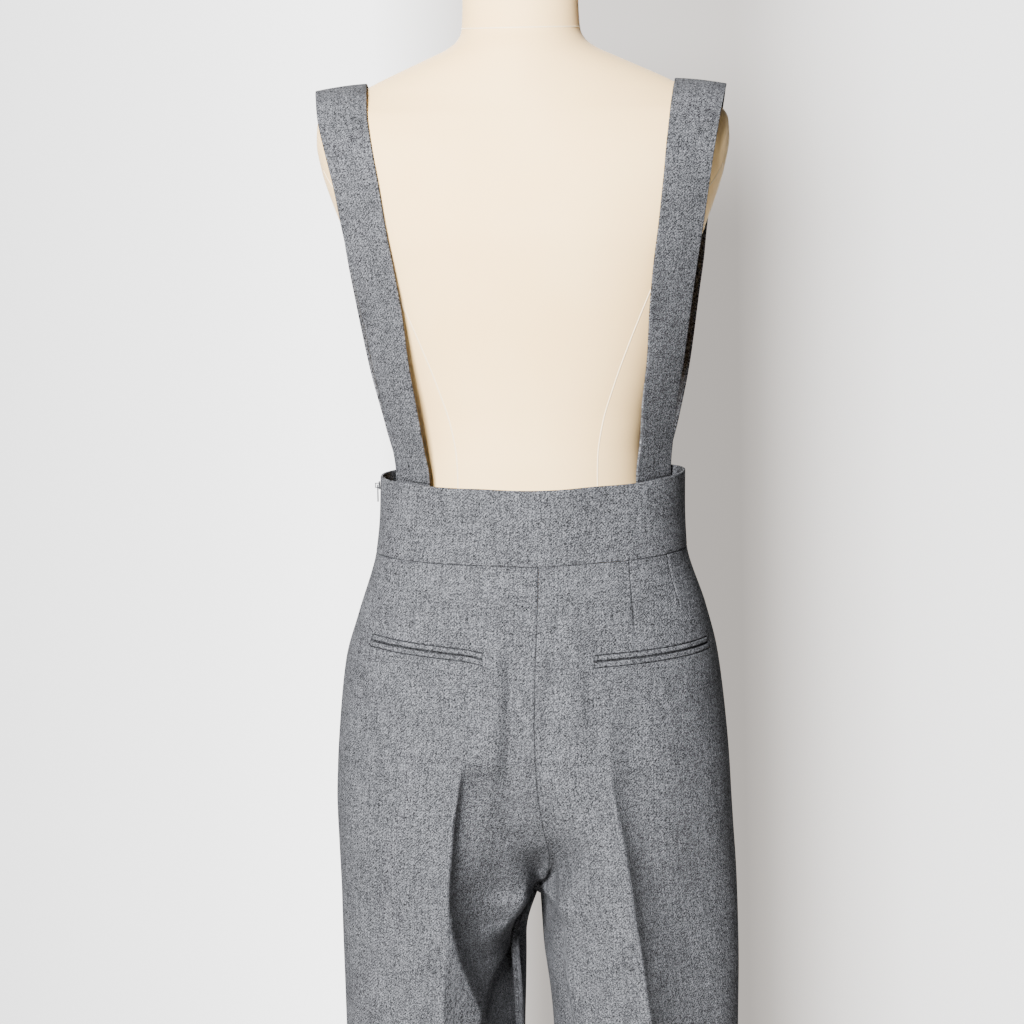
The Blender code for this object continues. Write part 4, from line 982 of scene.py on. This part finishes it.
def addStand():
    plate = roundedDisc(stand["baseRadius"], stand["baseHeight"], 0, stand["baseEdge"])
    addTurned("standPlate", plate, (0, 0, 0), 160, paint, "stand_base")
    foot = stand["baseHeight"] + stand["gap"]
    top = stand["formFoot"] - stand["gap"]
    pole, collar, high = stand["poleRadius"], stand["collarRadius"], stand["collarHeight"]
    under = top - stand["socket"]
    # the collar under the form, its taper, the pole, and the stepped collar on the plate
    profile = [
        (collar, top), (collar, under), (pole + 1.5, under - high / 2 + 2), (pole, under - high / 2),
        (pole, foot + high), (pole + 4, foot + high - 1.5), (pole + 5, foot + high - 4),
        (pole + 6.5, foot + 9), (collar - 1.5, foot + 5), (collar, foot + 3.5), (collar, foot)]
    addTurned("standPole", profile, (stand["poleX"], 0, 0), 72, paint, "stand_pole")
    cap = roundedDisc(stand["capRadius"], stand["capFoot"] + stand["capHeight"], stand["capFoot"],
                      stand["capEdge"])
    addTurned("neckCap", cap, (0, stand["capY"], 0), 120, plastic, "neck_cap")


addStand()
print("stand: plate, pole and neck cap")

zipper = {"bevel": 0.18, "top": 1144.0, "foot": 955.0, "stations": 1520, "levels": 6,
          "tapeWidth": 12.0, "tapeWall": 0.4, "tapeDepth": 3.2, "tapeEvery": 40, "tapeColumns": 7,
          "coilRadius": 0.75, "coilPitch": 1.3, "coilDepth": 1.4, "coilSides": 8,
          "coilSwell": (0.72, 0.28), "flat": (0.012, 0.195)}


def joinFlatFaces(shape):
    bmesh.ops.remove_doubles(shape, verts=shape.verts, dist=1e-6)
    bmesh.ops.dissolve_limit(shape, angle_limit=math.radians(1), verts=shape.verts, edges=shape.edges)


def roundedCopy(node, name, material, body):
    # the solid's own shape with its edges rounded over, kept where the solid is
    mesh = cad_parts[node].data.copy()
    mesh.name = name
    mesh.transform(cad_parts[node].matrix_world)
    mesh.materials.clear()
    reworkMesh(mesh, joinFlatFaces)
    roundEdges(addPiece(name, mesh, material, body, (node,)), zipper["bevel"], 30)


def addZipTrack():
    # the coil runs under the side seam, swelling at each of its turns, and the tape lies behind it
    z = np.linspace(zipper["top"], zipper["foot"], zipper["stations"])
    heights = np.array(guides["sideLeft"])[:zipper["levels"], 2]
    seam = smooth(guides["sideLeft"], np.interp(-z, -heights, np.arange(zipper["levels"])))
    seam[:, 2] = z
    evenly, swelling = zipper["coilSwell"]
    radius = zipper["coilRadius"] * (evenly + swelling * np.cos(z / zipper["coilPitch"] * 2 * math.pi))
    rings = ringPoints(radius, 0 * z, zipper["coilSides"])
    addClosed("zipCoil", seam[:, None] + (-zipper["coilDepth"], 0, 0) + rings, tape)
    share = np.linspace(-0.5, 0.5, zipper["tapeColumns"])
    aside = np.stack([np.full_like(share, -zipper["tapeDepth"]), share * zipper["tapeWidth"],
                      0 * share], -1)
    points = seam[::zipper["tapeEvery"], None] + aside
    tapeMesh = meshFrom("zipTape", points, quads(*points.shape[:2]))
    piece = addPiece("zipTape", tapeMesh, tape)
    thicken(piece, zipper["tapeWall"])


roundedCopy("zip_slider", "zipSlider", zinc, mainBody)
roundedCopy("zip_pull", "zipPull", zinc, pullBody)
addZipTrack()
print("zip: slider, pull, coil and tape")

studio = {
    "floorRadius": 1500.0, "floorSteps": 128, "floorDrop": 0.2,
    "floorTones": [(0.3, "e4e2de"), (0.7, "dedcd8")],
    # light painted on the wall, and how deep the form's soft shadow painted on it is, by how far left
    # one looks
    "wall": 4.4, "wallColour": "ffffff", "shadowColour": "f3e9df", "wallSpan": (-0.14, 0.19),
    "wallLight": [(0.05, 0.75), (0.30, 0.85), (0.50, 1.0), (0.667, 1.0), (0.784, 0.82), (0.955, 0.66)],
    "wallShadow": [
        (0.054, 0.04), (0.108, 0.11), (0.153, 0.20), (0.189, 0.34), (0.216, 0.45), (0.243, 0.59),
        (0.261, 0.68), (0.279, 0.77), (0.297, 0.82), (0.478, 0.83), (0.541, 0.6), (0.62, 0.0)],
    # how the shadow fades upwards, how bright the room is to each side, and where the room begins
    "shadowFade": (-0.05, 0.015, 1.0, 0.72),
    "room": (-0.25, 0.15, 0.1, 0.42),
    "roomStart": (-0.97, -0.8, 0.0, 1.0),
}
lamps = {  # place in metres, size in metres, power in watts
    "windowKey": ((1.12, 3.42, 2.75), 1.1, 915),
    "frontFill": ((0.9, -3.2, 2.4), 2.0, 190),
}
view = {"distance": 3.0, "height": 1.5, "turn": 1.5, "roll": 1.1, "aim": (0.016, 0.0, 1.110),
        "focal": 118.17, "lampAim": (0, 0, 1.1)}


def addFloor():
    rim = ringPoints(np.array([studio["floorRadius"]]), np.array([-studio["floorDrop"]]),
                     studio["floorSteps"])
    mesh = meshFrom("studioFloor", rim, [list(range(studio["floorSteps"]))])
    floor = bpy.data.objects.new("studioFloor", mesh)
    bpy.context.scene.collection.objects.link(floor)
    stains = ("TexNoise", {"Scale": 3.0, "Detail": 5.0})
    mesh.materials.append(
        patternedFinish("painted concrete, rolled", stains, studio["floorTones"], Roughness=0.8))


def addWorld():
    # a white studio: the wall beyond the front, with painted light from the wearer's left and the form's
    # soft shadow painted on it, and a dimmer room on the camera's side
    world = bpy.data.worlds.new("studioWall")
    bpy.context.scene.world = world
    world.use_nodes = True
    tree = world.node_tree
    background = tree.nodes["Background"].inputs
    looks = addNode(tree, "SeparateXYZ", {"Vector": addNode(tree, "TexCoord").outputs["Generated"]})
    first, last = studio["wallSpan"]
    leftward = addNode(tree, "MapRange", {"Value": looks.outputs["X"]},
                       {"From Min": first, "From Max": last})
    light, shade = (addNode(tree, "ValToRGB", {"Fac": leftward}) for _ in range(2))
    for ramp, table in ((light, "wallLight"), (shade, "wallShadow")):
        setRamp(ramp, [(place, (value, value, value, 1)) for place, value in studio[table]])
    upward, sideways, roomward = (
        addNode(tree, "MapRange", {"Value": looks.outputs[axis]},
                dict(zip(("From Min", "From Max", "To Min", "To Max"), studio[name])),
                interpolation_type="SMOOTHSTEP")
        for axis, name in (("Z", "shadowFade"), ("X", "room"), ("Y", "roomStart")))
    shadow = addNode(tree, "Math", {0: shade, 1: upward}, operation="MULTIPLY")
    lit = addNode(tree, "Math", {1: shadow}, {0: 1.0}, operation="SUBTRACT")
    level = addNode(tree, "Math", {0: light, 1: lit}, operation="MULTIPLY")
    bright = addNode(tree, "Math", {0: level}, {1: studio["wall"]}, operation="MULTIPLY")
    tinted = addNode(tree, "Mix", {"Factor": shadow}, data_type="RGBA")
    strength = addNode(tree, "Mix", {"Factor": roomward}, data_type="FLOAT")
    colours = {found.identifier: found for found in (*tinted.inputs, *tinted.outputs)}
    colours["A_Color"].default_value = toLinear(studio["wallColour"])
    colours["B_Color"].default_value = toLinear(studio["shadowColour"])
    levels = {found.identifier: found for found in (*strength.inputs, *strength.outputs)}
    for source, target in (
            (colours["Result_Color"], background["Color"]), (bright.outputs[0], levels["A_Float"]),
            (sideways.outputs[0], levels["B_Float"]), (levels["Result_Float"], background["Strength"])):
        tree.links.new(source, target)


def addLamps():
    for name, (place, size, power) in lamps.items():
        light = bpy.data.lights.new(name, "AREA")
        light.size, light.energy = size, power
        lamp = bpy.data.objects.new(name, light)
        bpy.context.scene.collection.objects.link(lamp)
        lamp.location = place
        aim = Vector(view["lampAim"]) - Vector(place)
        lamp.rotation_euler = aim.to_track_quat("-Z", "Y").to_euler()


def addCamera():
    turn, roll = math.radians(view["turn"]), math.radians(view["roll"])
    aim, distance = Vector(view["aim"]), view["distance"]
    spot = Vector((aim.x - distance * math.sin(turn), distance * math.cos(turn), view["height"]))
    ahead = (aim - spot).normalized()
    right = ahead.cross(Vector((0, 0, 1))).normalized()
    up = right.cross(ahead)
    right, up = (math.cos(roll) * right - math.sin(roll) * up,
                 math.sin(roll) * right + math.cos(roll) * up)
    lens = bpy.data.cameras.new("photoView")
    lens.lens, lens.sensor_width = view["focal"], 36.0
    camera = bpy.data.objects.new("photoView", lens)
    bpy.context.scene.collection.objects.link(camera)
    camera.matrix_world = Matrix.Translation(spot) @ Matrix((right, up, -ahead)).transposed().to_4x4()
    bpy.context.scene.camera = camera


addFloor()
addWorld()
addLamps()
addCamera()
print("studio: floor, wall light, lamps and camera")
